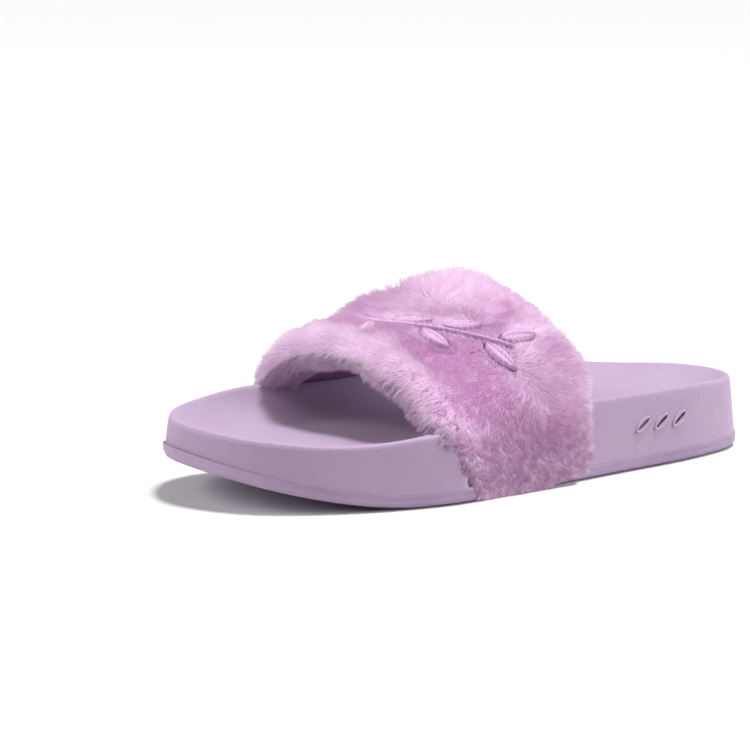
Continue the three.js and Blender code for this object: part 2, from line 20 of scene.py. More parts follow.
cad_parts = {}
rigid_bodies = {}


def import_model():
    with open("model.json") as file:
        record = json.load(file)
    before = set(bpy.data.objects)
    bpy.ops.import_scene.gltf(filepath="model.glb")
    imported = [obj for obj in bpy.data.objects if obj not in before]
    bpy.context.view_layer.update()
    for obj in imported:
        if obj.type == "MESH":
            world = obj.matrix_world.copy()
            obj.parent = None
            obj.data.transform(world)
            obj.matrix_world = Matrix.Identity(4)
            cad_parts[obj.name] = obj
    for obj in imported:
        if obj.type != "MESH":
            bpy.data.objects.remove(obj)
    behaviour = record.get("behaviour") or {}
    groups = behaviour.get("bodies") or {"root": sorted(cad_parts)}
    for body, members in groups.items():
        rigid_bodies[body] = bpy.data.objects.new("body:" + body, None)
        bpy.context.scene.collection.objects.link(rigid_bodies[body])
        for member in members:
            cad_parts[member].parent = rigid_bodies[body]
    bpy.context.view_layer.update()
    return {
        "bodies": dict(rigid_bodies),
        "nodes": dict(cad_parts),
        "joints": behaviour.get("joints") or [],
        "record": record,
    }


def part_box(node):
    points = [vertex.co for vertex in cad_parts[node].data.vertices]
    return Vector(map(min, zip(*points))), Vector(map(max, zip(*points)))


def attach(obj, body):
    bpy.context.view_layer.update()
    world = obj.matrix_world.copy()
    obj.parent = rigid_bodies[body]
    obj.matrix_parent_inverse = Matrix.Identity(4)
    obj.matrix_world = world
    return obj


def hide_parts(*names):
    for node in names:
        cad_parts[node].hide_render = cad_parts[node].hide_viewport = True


log = logging.getLogger("slide")

MM = 0.001
UP = Vector((0.0, 0.0, 1.0))


# ---------------------------------------------------------------- small helpers


def tint(code: str) -> tuple[float, float, float, float]:
    """Turns a six-digit colour code into a linear colour.

    Args:
        code: Red, green and blue as six hexadecimal digits.

    Returns:
        Linear red, green, blue and an alpha of one.
    """
    channels = [int(code[i : i + 2], 16) / 255 for i in (0, 2, 4)]
    linear = [c / 12.92 if c <= 0.04045 else ((c + 0.055) / 1.055) ** 2.4 for c in channels]
    return (*linear, 1.0)


def unit(rows: np.ndarray) -> np.ndarray:
    """Scales each row vector to a length of one."""
    return rows / np.maximum(np.linalg.norm(rows, axis=-1, keepdims=True), 1e-12)


def ease(low: float, high: float, value: np.ndarray) -> np.ndarray:
    """Rises smoothly from 0 at low to 1 at high; the two may be in either order."""
    share = np.clip((value - low) / (high - low), 0.0, 1.0)
    return share * share * (3 - 2 * share)


def lerp(start: float, end: float, share: float) -> float:
    """Goes from start to end by a share."""
    return start + (end - start) * share


def soften_ring(values: np.ndarray, passes: int) -> np.ndarray:
    """Evens out values along a closed ring.

    Args:
        values: One row for each point of the ring.
        passes: How many times each value is averaged with its neighbours.

    Returns:
        The evened values.
    """
    for _ in range(passes):
        values = (np.roll(values, 1, 0) + 2 * values + np.roll(values, -1, 0)) / 4
    return values


def bilinear(grid: np.ndarray, column: np.ndarray, row: np.ndarray) -> np.ndarray:
    """Reads a grid of values between its points.

    Args:
        grid: Rows by columns by channels.
        column: Places along a row, from 0 to 1.
        row: Places across the rows, from 0 to 1.

    Returns:
        One row of channels for each place.
    """
    rows, columns = grid.shape[:2]
    x = np.clip(column, 0, 1) * (columns - 1)
    y = np.clip(row, 0, 1) * (rows - 1)
    i = np.minimum(x.astype(int), columns - 2)
    j = np.minimum(y.astype(int), rows - 2)
    fx, fy = (x - i)[:, None], (y - j)[:, None]
    near = grid[j, i] * (1 - fx) + grid[j, i + 1] * fx
    far = grid[j + 1, i] * (1 - fx) + grid[j + 1, i + 1] * fx
    return near * (1 - fy) + far * fy


def positions(mesh: bpy.types.Mesh, points: np.ndarray) -> None:
    """Puts a mesh's vertices at the given points."""
    mesh.vertices.foreach_set("co", np.ascontiguousarray(points, dtype=np.float32).ravel())
    mesh.update()


def place(bm: bmesh.types.BMesh, points: np.ndarray) -> None:
    """Puts a bmesh's vertices, in their order, at the given points."""
    for vertex, point in zip(bm.verts, points):
        vertex.co = point


class Probe:
    """Feels for the surface of one node of the frame."""

    def __init__(self, node: bpy.types.Object) -> None:
        """Takes a merged copy of the node's mesh."""
        bm = bmesh.new()
        bm.from_mesh(node.data)
        bmesh.ops.remove_doubles(bm, verts=bm.verts, dist=1e-6)
        self.tree = BVHTree.FromBMesh(bm)
        self.points = np.array([v.co[:] for v in bm.verts])
        bm.free()

    def hit(self, origin: Vector, direction: Vector) -> Vector | None:
        """Returns the first point of the surface from origin in a direction, if there is one."""
        return self.tree.ray_cast(origin, direction)[0]

    def near(self, point: Vector) -> Vector:
        """Returns the surface's nearest point."""
        return self.tree.find_nearest(point)[0]


# ---------------------------------------------------------------- shader nodes


class Graph:
    """Adds and joins nodes in one node tree."""

    def __init__(self, tree: bpy.types.NodeTree) -> None:
        """Works on an existing tree."""
        self.tree = tree

    def add(self, kind: str, inputs: dict | None = None, **settings) -> bpy.types.Node:
        """Adds a node.

        Args:
            kind: The node's type, without the ShaderNode that it starts with.
            inputs: Values or sockets by the input's name or number.
            **settings: Properties of the node.

        Returns:
            The new node.
        """
        node = self.tree.nodes.new(kind if kind.startswith("Node") else "ShaderNode" + kind)
        for name, value in settings.items():
            setattr(node, name, value)
        for name, value in (inputs or {}).items():
            self.feed(node.inputs[name], value)
        return node

    def feed(self, socket: bpy.types.NodeSocket, value: object) -> None:
        """Joins a socket to another, or gives it a value of its own."""
        if isinstance(value, bpy.types.NodeSocket):
            self.tree.links.new(value, socket)
        else:
            socket.default_value = value

    def mix(self, share: object, first: object, second: object) -> bpy.types.NodeSocket:
        """Mixes two colours by a share and returns the result."""
        node = self.add("Mix", data_type="RGBA")
        for index, value in ((0, share), (6, first), (7, second)):
            self.feed(node.inputs[index], value)
        return node.outputs[2]

    def math(self, operation: str, *values: object) -> bpy.types.NodeSocket:
        """Works out a number from one to three others."""
        node = self.add("Math", operation=operation)
        for index, value in enumerate(values):
            self.feed(node.inputs[index], value)
        return node.outputs[0]

    def span(self, value: object, low: float, high: float, start: float, end: float):
        """Maps a value from one range smoothly onto another and returns the result."""
        node = self.add("MapRange", interpolation_type="SMOOTHSTEP")
        for index, given in enumerate((value, low, high, start, end)):
            self.feed(node.inputs[index], given)
        return node.outputs[0]


def new_group(name: str, inputs: dict[str, str], outputs: dict[str, str]) -> Graph:
    """Starts a node group with named sockets.

    Args:
        name: The group's name.
        inputs: Kind of each input socket by its name.
        outputs: Kind of each output socket by its name.

    Returns:
        The group's graph, with its input and output nodes in it.
    """
    tree = bpy.data.node_groups.new(name, "ShaderNodeTree")
    for in_out, sockets in (("INPUT", inputs), ("OUTPUT", outputs)):
        for label, kind in sockets.items():
            tree.interface.new_socket(label, in_out=in_out, socket_type="NodeSocket" + kind)
    graph = Graph(tree)
    graph.add("NodeGroupInput", name="in")
    graph.add("NodeGroupOutput", name="out")
    return graph


class Effects:
    """The surface effects that several finishes share, each a node group made once."""

    def __init__(self) -> None:
        """Builds the groups."""
        self.grain = self._grain()
        self.mottle = self._mottle()
        self.rub = self._rub()
        self.weave = self._weave()

    @staticmethod
    def _grain() -> bpy.types.NodeTree:
        """Fine pebbled skin of moulded foam: a height, and a mask of its hollows, which the finishes darken as
        painted shade.
        """
        g = new_group("moulded_grain", {"Place": "Vector", "Scale": "Float"}, {"Height": "Float", "Hollows": "Float"})
        source, sink = g.tree.nodes["in"].outputs, g.tree.nodes["out"].inputs
        pebbles = g.add("TexVoronoi", {"Vector": source["Place"], "Scale": source["Scale"]}, feature="SMOOTH_F1")
        dust = g.add(
            "TexNoise",
            {"Vector": source["Place"], "Scale": g.math("MULTIPLY", source["Scale"], 0.55), "Detail": 4.0},
        )
        domes = g.math("SUBTRACT", 1.0, pebbles.outputs["Distance"])
        height = g.math("ADD", g.math("MULTIPLY", domes, 0.5), g.math("MULTIPLY", dust.outputs[0], 0.7))
        g.feed(sink["Height"], height)
        g.feed(sink["Hollows"], g.span(pebbles.outputs["Distance"], 0.35, 0.8, 0.0, 1.0))
        return g.tree

    @staticmethod
    def _mottle() -> bpy.types.NodeTree:
        """Broad, faint change of tone over a surface."""
        g = new_group(
            "broad_tone",
            {"Place": "Vector", "Scale": "Float", "Color": "Color", "Other": "Color", "Amount": "Float"},
            {"Color": "Color", "Mask": "Float"},
        )
        source, sink = g.tree.nodes["in"].outputs, g.tree.nodes["out"].inputs
        cloud = g.add("TexNoise", {"Vector": source["Place"], "Scale": source["Scale"], "Detail": 3.0})
        mask = g.math("MULTIPLY", g.span(cloud.outputs[0], 0.32, 0.68, 0.0, 1.0), source["Amount"])
        g.feed(sink["Color"], g.mix(mask, source["Color"], source["Other"]))
        g.feed(sink["Mask"], mask)
        return g.tree

    @staticmethod
    def _rub() -> bpy.types.NodeTree:
        """Wear along edges that stand out, broken up by noise."""
        g = new_group("edge_rub", {"Place": "Vector", "Amount": "Float"}, {"Mask": "Float"})
        source, sink = g.tree.nodes["in"].outputs, g.tree.nodes["out"].inputs
        edge = g.span(g.add("NewGeometry").outputs["Pointiness"], 0.5, 0.56, 0.0, 1.0)
        spots = g.add("TexNoise", {"Vector": source["Place"], "Scale": 240.0, "Detail": 5.0})
        broken = g.math("MULTIPLY", edge, g.span(spots.outputs[0], 0.3, 0.65, 0.35, 1.0))
        g.feed(sink["Mask"], g.math("MULTIPLY", broken, source["Amount"]))
        return g.tree

    @staticmethod
    def _weave() -> bpy.types.NodeTree:
        """Interlaced yarns in a cloth's own plane: a height, and a mask of the gaps, which the cloth finish darkens
        as painted shade.
        """
        g = new_group("yarn_weave", {"Place": "Vector", "Pitch": "Float"}, {"Height": "Float", "Gaps": "Float"})
        source, sink = g.tree.nodes["in"].outputs, g.tree.nodes["out"].inputs
        across = g.add("SeparateXYZ", {0: source["Place"]})
        turns = [
            g.math("SINE", g.math("DIVIDE", g.math("MULTIPLY", across.outputs[k], 2 * math.pi), source["Pitch"]))
            for k in (0, 1)
        ]
        crossing = g.math("MULTIPLY", turns[0], turns[1])
        height = g.math("ADD", g.math("MULTIPLY", crossing, 0.5), 0.5)
        g.feed(sink["Height"], height)
        g.feed(sink["Gaps"], g.span(height, 0.0, 0.45, 1.0, 0.0))
        return g.tree


class Dresser:
    """Makes a material's nodes around one Principled shader."""

    def __init__(self, name: str, effects: Effects) -> None:
        """Starts an empty material."""
        self.material = bpy.data.materials.new(name)
        self.material.use_nodes = True
        self.graph = Graph(self.material.node_tree)
        self.shader = self.material.node_tree.nodes["Principled BSDF"]
        self.effects = effects

    def place(self) -> bpy.types.NodeSocket:
        """Returns the object's own coordinates."""
        return self.graph.add("TexCoord").outputs["Object"]

    def cloth(self, name: str) -> bpy.types.NodeSocket:
        """Returns the coordinates of a named UV map."""
        return self.graph.add("UVMap", uv_map=name).outputs[0]

    def group(self, tree: bpy.types.NodeTree, inputs: dict) -> bpy.types.bpy_prop_collection:
        """Places a shared effect and returns its outputs."""
        node = self.graph.add("Group", node_tree=tree)
        for name, value in inputs.items():
            self.graph.feed(node.inputs[name], value)
        return node.outputs

    def surface(self, **values: object) -> None:
        """Feeds the shader's sockets; an underscore in a name stands for a space."""
        for name, value in values.items():
            self.graph.feed(self.shader.inputs[name.replace("_", " ")], value)

    def bump(self, height: object, strength: float, distance: float) -> None:
        """Raises the surface by a height."""
        node = self.graph.add("Bump", {"Strength": strength, "Distance": distance, "Height": height})
        self.surface(Normal=node.outputs[0])


# ---------------------------------------------------------------- finishes


@dataclass(frozen=True)
class FoamFinish:
    """Moulded foam of the sole: matte, finely pebbled, a little paler where it is rubbed."""

    name: str = "moulded_foam"
    tone: str = "b099b5"
    other: str = "aa92af"
    # colour of the painted shade in the hollows of the grain
    hollow: str = "9a81a1"
    rubbed: str = "c6b2ca"
    pebble_scale: float = 1150.0
    roughness: float = 0.62

    def material(self, effects: Effects) -> bpy.types.Material:
        """Builds the material from the shared effects and returns it."""
        d = Dresser(self.name, effects)
        g, place = d.graph, d.place()
        broad = d.group(
            effects.mottle,
            {"Place": place, "Scale": 26.0, "Color": tint(self.tone), "Other": tint(self.other), "Amount": 0.8},
        )
        grain = d.group(effects.grain, {"Place": place, "Scale": self.pebble_scale})
        rub = d.group(effects.rub, {"Place": place, "Amount": 0.55})
        # painted shade: the foam is darker in the hollows of its pebbled grain, where shade falls
        hollows = g.math("MULTIPLY", grain["Hollows"], 0.35)
        colour = g.mix(hollows, broad["Color"], tint(self.hollow))
        colour = g.mix(rub["Mask"], colour, tint(self.rubbed))
        rough = g.math("ADD", self.roughness, g.math("MULTIPLY", broad["Mask"], 0.1))
        d.surface(Base_Color=colour, Roughness=rough)
        d.shader.inputs["Specular IOR Level"].default_value = 0.32
        d.shader.inputs["Sheen Weight"].default_value = 0.12
        d.shader.inputs["Sheen Roughness"].default_value = 0.6
        d.bump(grain["Height"], 0.22, 0.12 * MM)
        return d.material


@dataclass(frozen=True)
class RubberFinish:
    """Foam rubber of the outsole: denser and slightly deeper in tone, scuffed at its edges."""

    name: str = "outsole_rubber"
    tone: str = "a790ad"
    other: str = "9d85a4"
    scuffed: str = "bcaac1"
    roughness: float = 0.55

    def material(self, effects: Effects) -> bpy.types.Material:
        """Builds the material from the shared effects and returns it."""
        d = Dresser(self.name, effects)
        g, place = d.graph, d.place()
        broad = d.group(
            effects.mottle,
            {"Place": place, "Scale": 60.0, "Color": tint(self.tone), "Other": tint(self.other), "Amount": 0.9},
        )
        grain = d.group(effects.grain, {"Place": place, "Scale": 1700.0})
        rub = d.group(effects.rub, {"Place": place, "Amount": 0.25})
        d.surface(
            Base_Color=g.mix(rub["Mask"], broad["Color"], tint(self.scuffed)),
            Roughness=g.math("ADD", self.roughness, g.math("MULTIPLY", rub["Mask"], 0.2)),
        )
        d.shader.inputs["Specular IOR Level"].default_value = 0.35
        d.bump(grain["Height"], 0.18, 0.1 * MM)
        return d.material


@dataclass(frozen=True)
class ClothFinish:
    """A woven or knitted cloth of the strap, seen up close as yarns."""

    name: str
    yarn: str
    # colour of the gaps between yarns: painted shade there, and also the random second tone of the cloth
    gap: str
    pitch: float = 0.9 * MM
    roughness: float = 0.85
    relief: float = 0.15 * MM
    sheen: float = 0.25

    def material(self, effects: Effects) -> bpy.types.Material:
        """Builds the material from the shared effects and returns it."""
        d = Dresser(self.name, effects)
        g = d.graph
        cloth = d.cloth("Cloth")
        weave = d.group(effects.weave, {"Place": cloth, "Pitch": self.pitch})
        broad = d.group(
            effects.mottle,
            {"Place": d.place(), "Scale": 45.0, "Color": tint(self.yarn), "Other": tint(self.gap), "Amount": 0.3},
        )
        # painted shade: the cloth is darker in the gaps between its yarns
        d.surface(
            Base_Color=g.mix(weave["Gaps"], broad["Color"], tint(self.gap)),
            Roughness=g.math("ADD", self.roughness, g.math("MULTIPLY", weave["Gaps"], 0.1)),
        )
        d.shader.inputs["Sheen Weight"].default_value = self.sheen
        d.bump(weave["Height"], 0.6, self.relief)
        return d.material


@dataclass(frozen=True)
class PaddingFinish:
    """Open-cell padding foam between the layers of the strap."""

    name: str = "padding_foam"
    tone: str = "e4dbe8"
    # colour of the painted shade in the hollows of the open cells
    cell: str = "c8bbce"

    def material(self, effects: Effects) -> bpy.types.Material:
        """Builds the material from the shared effects and returns it."""
        d = Dresser(self.name, effects)
        grain = d.group(effects.grain, {"Place": d.place(), "Scale": 900.0})
        # painted shade: the padding is darker in the hollows of its open cells
        d.surface(Base_Color=d.graph.mix(grain["Hollows"], tint(self.tone), tint(self.cell)))
        d.shader.inputs["Roughness"].default_value = 0.95
        d.bump(grain["Height"], 0.5, 0.3 * MM)
        return d.material


@dataclass(frozen=True)
class PileFinish:
    """Plush fibres: the map runs from deep to frosted tone, and from root to tip."""

    name: str = "plush_pile"
    deep_root: str = "7d4c78"
    deep_tip: str = "b07fa9"
    frosted_root: str = "ae89ac"
    frosted_tip: str = "dfc5dd"
    roughness: float = 0.68
    sheen: float = 0.55

    def material(self, effects: Effects) -> bpy.types.Material:
        """Builds the material and returns it."""
        d = Dresser(self.name, effects)
        g = d.graph
        at = g.add("SeparateXYZ", {0: d.cloth("OFBake")})
        # darker towards the roots: partly the fibres' own colour, partly painted shade standing in for the shadow
        # deep in the pile that these fibres do not cast on one another
        rise = g.span(at.outputs[1], 0.0, 0.9, 0.0, 1.0)
        deep = g.mix(rise, tint(self.deep_root), tint(self.deep_tip))
        frosted = g.mix(rise, tint(self.frosted_root), tint(self.frosted_tip))
        colour = g.mix(at.outputs[0], deep, frosted)
        d.surface(Base_Color=colour)
        d.shader.inputs["Roughness"].default_value = self.roughness
        d.shader.inputs["Specular IOR Level"].default_value = 0.2
        d.shader.inputs["Sheen Weight"].default_value = self.sheen
        d.shader.inputs["Sheen Roughness"].default_value = 0.45
        d.shader.inputs["Sheen Tint"].default_value = tint("f6e4f6")
        return d.material


@dataclass(frozen=True)
class ThreadFinish:
    """Glossy embroidery or sewing thread, with its twist."""

    name: str
    tone: str
    shade: str
    roughness: float = 0.38
    twist: float = 0.35 * MM

    def material(self, effects: Effects) -> bpy.types.Material:
        """Builds the material from the shared effects and returns it."""
        d = Dresser(self.name, effects)
        g = d.graph
        broad = d.group(
            effects.mottle,
            {"Place": d.place(), "Scale": 900.0, "Color": tint(self.tone), "Other": tint(self.shade), "Amount": 0.5},
        )
        weave = d.group(effects.weave, {"Place": d.place(), "Pitch": self.twist})
        d.surface(Base_Color=broad["Color"], Roughness=g.math("ADD", self.roughness, g.math("MULTIPLY", broad["Mask"], 0.15)))
        d.shader.inputs["Sheen Weight"].default_value = 0.3
        d.bump(weave["Height"], 0.25, 0.05 * MM)
        return d.material


# ---------------------------------------------------------------- the frame's pieces


@dataclass
class Workshop:
    """What every sub-assembly needs: the frame's nodes, and the finishes made so far."""

    nodes: dict[str, bpy.types.Object]
    effects: Effects
    materials: dict[str, bpy.types.Material] = field(default_factory=dict)

    def dress(self, piece: bpy.types.Object, finish: object) -> None:
        """Gives a piece one finish, made the first time that it is asked for."""
        if finish.name not in self.materials:
            self.materials[finish.name] = finish.material(self.effects)
        piece.data.materials.clear()
        piece.data.materials.append(self.materials[finish.name])

    def finish_piece(
        self,
        name: str,
        shape: bmesh.types.BMesh | bpy.types.Mesh,
        finish: object,
        slot: str,
        stands_for: tuple[str, ...] = (),
        smooth: bool = True,
    ) -> bpy.types.Object:
        """Turns a shape into a piece that rides on the slide.

        Args:
            name: The piece's name.
            shape: Its bmesh, which is freed, or its mesh.
            finish: Its finish.
            slot: The record's material slot; not used.
            stands_for: The frame's nodes that it replaces.
            smooth: Whether its faces are shaded smoothly.

        Returns:
            The new object.
        """
        if isinstance(shape, bmesh.types.BMesh):
            mesh = bpy.data.meshes.new(name)
            shape.to_mesh(mesh)
            shape.free()
        else:
            mesh = shape
            mesh.name = name
        mesh.polygons.foreach_set("use_smooth", [smooth] * len(mesh.polygons))
        piece = bpy.data.objects.new(name, mesh)
        bpy.context.scene.collection.objects.link(piece)
        self.dress(piece, finish)
        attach(piece, "root")
        if stands_for:
            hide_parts(*stands_for)
        log.info("%s: %d faces", name, len(mesh.polygons))
        return piece


def closed_rings(rings: list[np.ndarray], joined: bool = False) -> bmesh.types.BMesh:
    """Draws a surface through closed rings of equal length.

    Args:
        rings: The rings, each one row for each point.
        joined: Whether the last ring goes back to the first, as round a tube.

    Returns:
        The surface; rings that shrink to a line or a point are merged there.
    """
    bm = bmesh.new()
    bmesh.ops.create_circle(bm, cap_ends=False, segments=len(rings[0]), radius=1.0)
    bm.verts.ensure_lookup_table()
    place(bm, rings[0])
    edges = list(bm.edges)
    for ring in rings[1:]:
        made = bmesh.ops.extrude_edge_only(bm, edges=edges)["geom"]
        edges = [e for e in made if isinstance(e, bmesh.types.BMEdge)]
        verts = [v for v in made if isinstance(v, bmesh.types.BMVert)]
        for vertex, point in zip(verts, ring):
            vertex.co = point
    if joined:
        bmesh.ops.bridge_loops(bm, edges=[e for e in bm.edges if e.is_boundary])
    bmesh.ops.remove_doubles(bm, verts=bm.verts, dist=1e-6)
    bmesh.ops.recalc_face_normals(bm, faces=bm.faces)
    return bm


def thick_grid(
    columns: int,
    rows: int,
    low: Callable[[np.ndarray], np.ndarray],
    high: Callable[[np.ndarray], np.ndarray],
    cloth: tuple[float, float] | None = None,
) -> bmesh.types.BMesh:
    """Makes a closed shell from a flat grid.

    Args:
        columns: How many faces along it.
        rows: How many faces across it.
        low: Gives the lower side's points for places from 0 to 1 along and across.
        high: Gives the upper side's.
        cloth: Length and width of the map named Cloth, if the shell has one.

    Returns:
        The shell.
    """
    bm = bmesh.new()
    bmesh.ops.create_grid(bm, x_segments=columns, y_segments=rows, size=0.5)
    if cloth:
        layer = bm.loops.layers.uv.new("Cloth")
        for face in bm.faces:
            for loop in face.loops:
                loop[layer].uv = (loop.vert.co.x * cloth[0], loop.vert.co.y * cloth[1])
    made = bmesh.ops.extrude_face_region(bm, geom=bm.faces[:])["geom"]
    lifted = [v for v in made if isinstance(v, bmesh.types.BMVert)]
    raised = set(lifted)
    floor = [v for v in bm.verts if v not in raised]
    for side, verts in ((low, floor), (high, lifted)):
        points = side(np.array([v.co[:2] for v in verts]) + 0.5)
        for vertex, point in zip(verts, points):
            vertex.co = point
    bmesh.ops.recalc_face_normals(bm, faces=bm.faces)
    return bm


# ---------------------------------------------------------------- the sole


@dataclass
class Sole:
    """The moulded midsole with its dished footbed, the outsole, its side band and the wall marks."""

    shop: Workshop
    face: "StrapFace"
    layers: "StrapLayers"
    foam: FoamFinish = FoamFinish()
    rubber: RubberFinish = RubberFinish()
    side_steps: int = 46
    end_steps: int = 26
    spine_end: float = 91 * MM
    spine_lean: float = 4.5 * MM
    reading_height: float = 24.3 * MM
    clear_ahead: float = -36 * MM
    clear_behind: float = 62 * MM
    bed_line: tuple[tuple[float, float], ...] = (
        (0.0, 29.0),
        (0.1, 24.6),
        (0.24, 22.0),
        (0.45, 23.2),
        (0.65, 25.6),
        (0.86, 24.6),
        (1.0, 25.6),
    )
    dish_reach: float = 0.54
    dish_curve: float = 2.1
    rim_shoulder: float = 0.84
    mark_places: tuple[float, ...] = (64 * MM, 74 * MM, 84 * MM)
    mark_length: float = 11 * MM
    mark_width: float = 4.6 * MM
    mark_tilt: float = 0.6

    def build(self) -> None:
        """Builds and dresses every piece of the sole."""
        self.probe = Probe(self.shop.nodes["midsole_footbed"])
        self.under = Probe(self.shop.nodes["outsole"])
        self._read()
        self._midsole()
        self._marks()
        self._band()
        outsole = self.shop.nodes["outsole"]
        self.shop.dress(outsole, self.rubber)

    def _rays(self) -> list[tuple[Vector, Vector]]:
        """Returns a point of the middle line and a direction outwards for each sample of the rim."""
        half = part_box("outsole")[1][1]

        def spine(y: float) -> Vector:
            return Vector((-self.spine_lean * (half - y) / (2 * half), y, 0.0))

        side = np.linspace(-self.spine_end, self.spine_end, self.side_steps + 1)
        turns = [math.pi * k / self.end_steps for k in range(1, self.end_steps)]
        rays = [(spine(y), Vector((1, 0, 0))) for y in side]
        rays += [(spine(self.spine_end), Vector((math.cos(t), math.sin(t), 0))) for t in turns]
        rays += [(spine(y), Vector((-1, 0, 0))) for y in side[::-1]]
        rays += [(spine(-self.spine_end), Vector((-math.cos(t), -math.sin(t), 0))) for t in turns]
        return rays

    def _wall(self, probe: Probe, height: float, ray: tuple[Vector, Vector]) -> Vector:
        """Returns where a sole's wall stands at a height, felt from outside."""
        start = ray[0] + ray[1] * 0.16 + UP * height
        found = probe.hit(start, -ray[1])
        if found is None:
            found = probe.near(ray[0] + ray[1] * 0.05 + UP * height)
        return found

    def _read(self) -> None:
        """Reads the sole's outline, wall and rim from the frame."""
        rays = self._rays()
        self.spine = np.array([r[0][:] for r in rays])
        bottoms, rims, along, rim_in = [], [], [], []
        for ray in rays:
            wall = self._wall(self.probe, self.reading_height, ray)
            below = self.probe.hit(wall - ray[1] * 4.5 * MM - UP * 0.1, UP)
            bottoms.append(below.z)
            insets = np.arange(1.4, 9.0, 0.4) * MM
            tops = []
            for inset in insets:
                point = wall - ray[1] * inset
                found = self.probe.hit(Vector((point.x, point.y, 0.12)), -UP)
                tops.append(found.z if found is not None else 0.0)
            rims.append(max(tops))
            first = next(k for k, top in enumerate(tops) if top > max(tops) - 0.2 * MM)
            reach = (wall - ray[1] * insets[first] - ray[0]).xy.length
            rim_in.append(reach)
            along.append(wall.y)
        sample = np.array(bottoms)
        free = (self.spine[:, 1] < self.clear_ahead) & (np.array([r[1].x for r in rays]) > -0.2)
        free |= self.spine[:, 1] > self.clear_behind
        along = np.array(along)
        order = np.where(free)[0][np.argsort(along[free])]
        self.bottom = soften_ring(np.interp(along, along[order], sample[order]), 2)
        outline = [self._wall(self.under, z - 2.4 * MM, ray)[:] for z, ray in zip(self.bottom, rays)]
        self.rim = soften_ring(np.array(rims), 3)
        self.outline = soften_ring(np.array(outline), 2)
        self.rim_reach = soften_ring(np.array(rim_in), 3)
        self.out = np.array([r[1][:] for r in rays])
        read = {}
        for share in (0.06, 0.35, 0.65, 0.88):
            level = self.bottom + (self.rim - self.bottom) * share
            read[share] = np.array([self._wall(self.probe, z, ray)[:] for z, ray in zip(level, rays)])
        low = self.outline.copy()
        low[:, 2] = self.bottom
        lean = ((low - read[0.88]) * self.out).sum(1)
        high = low - self.out * np.minimum(lean, np.median(lean) * 1.15)[:, None]
        high[:, 2] = self.bottom + (self.rim - self.bottom) * 0.88
        high = soften_ring(high, 2)
        self.walls = {share: lerp(low, high, share / 0.88) for share in (0.0, 0.02, *read)}
        for share, ring in read.items():
            plain = self.walls[share]
            sunk = ((plain - ring) * self.out).sum(1) > 1.6 * MM
            covered = self.face.front + self.layers.give_at(plain[:, 2]) * (self.out[:, 0] > 0) + 2.5 * MM
            sunk &= ring[:, 1] - self.face.slant * ring[:, 0] > covered
            plain[sunk] = ring[sunk]

    def _bed(self, y: np.ndarray) -> np.ndarray:
        """Returns the height of the footbed's middle along the sole."""
        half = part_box("outsole")[1][1]
        shares, heights = np.array(self.bed_line).T
        fine = np.linspace(0, 1, 60)
        smooth = np.interp(fine, shares, heights)
        for _ in range(12):
            smooth[1:-1] = (smooth[:-2] + 2 * smooth[1:-1] + smooth[2:]) / 4
        return np.interp((y + half) / (2 * half), fine, smooth) * MM

    def _midsole(self) -> None:
        """Builds the midsole from its bottom, up the wall, over the rim and into the dish."""
        wall, rim, out = self.walls, self.rim[:, None], self.out

        def at(ring: np.ndarray, inset: float, height: np.ndarray) -> np.ndarray:
            moved = ring - out * inset
            moved[:, 2] = np.ravel(height)
            return moved

        def towards_spine(ring: np.ndarray, share: float, height: np.ndarray) -> np.ndarray:
            moved = lerp(ring, self.spine, share)
            moved[:, 2] = np.ravel(height)
            return moved

        low, high = wall[0.0], wall[0.88]
        floor = self.bottom
        rings = [towards_spine(low, share, floor) for share in (1.0, 0.6, 0.25)]
        rings.append(at(low, 1.2 * MM, floor))
        rings.append(at(low, 0.3 * MM, floor))
        rings += [wall[share] for share in (0.0, 0.02, 0.06, 0.35, 0.65, 0.88)]
        rings.append(at(high, 0.15 * MM, self.rim - 1.5 * MM))
        rings.append(at(high, 0.55 * MM, self.rim - 0.45 * MM))
        rim_ring = self.spine + out * self.rim_reach[:, None]
        rings.append(at(rim_ring, -0.3 * MM, self.rim - 0.02 * MM))
        rings.append(at(rim_ring, 1.0 * MM, self.rim - 0.1 * MM))
        inner = at(rim_ring, 2.6 * MM, self.rim)
        for step in np.linspace(0, 1, 8):
            ring = lerp(inner, self.spine, step * self.dish_reach)
            bed = self._bed(ring[:, 1])
            raised = self.rim_shoulder * (1 - step) ** self.dish_curve
            ring[:, 2] = bed + (self.rim - bed) * raised
            rings.append(ring)
        for share in (0.7, 0.86, 1.0):
            ring = lerp(inner, self.spine, share)
            ring[:, 2] = self._bed(ring[:, 1])
            rings.append(ring)
        piece = self.shop.finish_piece(
            "midsole", closed_rings(rings), self.foam, "sole_foam", ("midsole_footbed",)
        )
        rounding = piece.modifiers.new("rounding", "SUBSURF")
        rounding.levels = rounding.render_levels = 2

    def _marks(self) -> None:
        """Stands three leaf-shaped marks on the outer wall near the heel."""
        joined = bmesh.new()
        outer = np.where((self.out[:, 0] > 0.5) & (self.spine[:, 1] > 20 * MM))[0]
        for y in self.mark_places:
            order = outer[np.argsort(self.walls[0.35][outer, 1])]
            low = [np.interp(y, self.walls[0.35][order, 1], self.walls[0.35][order, k]) for k in range(3)]
            high = [np.interp(y, self.walls[0.65][order, 1], self.walls[0.65][order, k]) for k in range(3)]
            ahead = [np.interp(y + 6 * MM, self.walls[0.35][order, 1], self.walls[0.35][order, k]) for k in range(3)]
            upward = (Vector(high) - Vector(low)).normalized()
            along = (Vector(ahead) - Vector(low)).normalized()
            outward = along.cross(upward).normalized()
            centre = (Vector(low) + Vector(high)) / 2
            frame = Matrix((along, outward.cross(along), outward)).transposed().to_4x4()
            frame.translation = centre
            self._leaf(joined, frame)
        self.shop.finish_piece("wall_marks", joined, self.foam, "sole_foam")

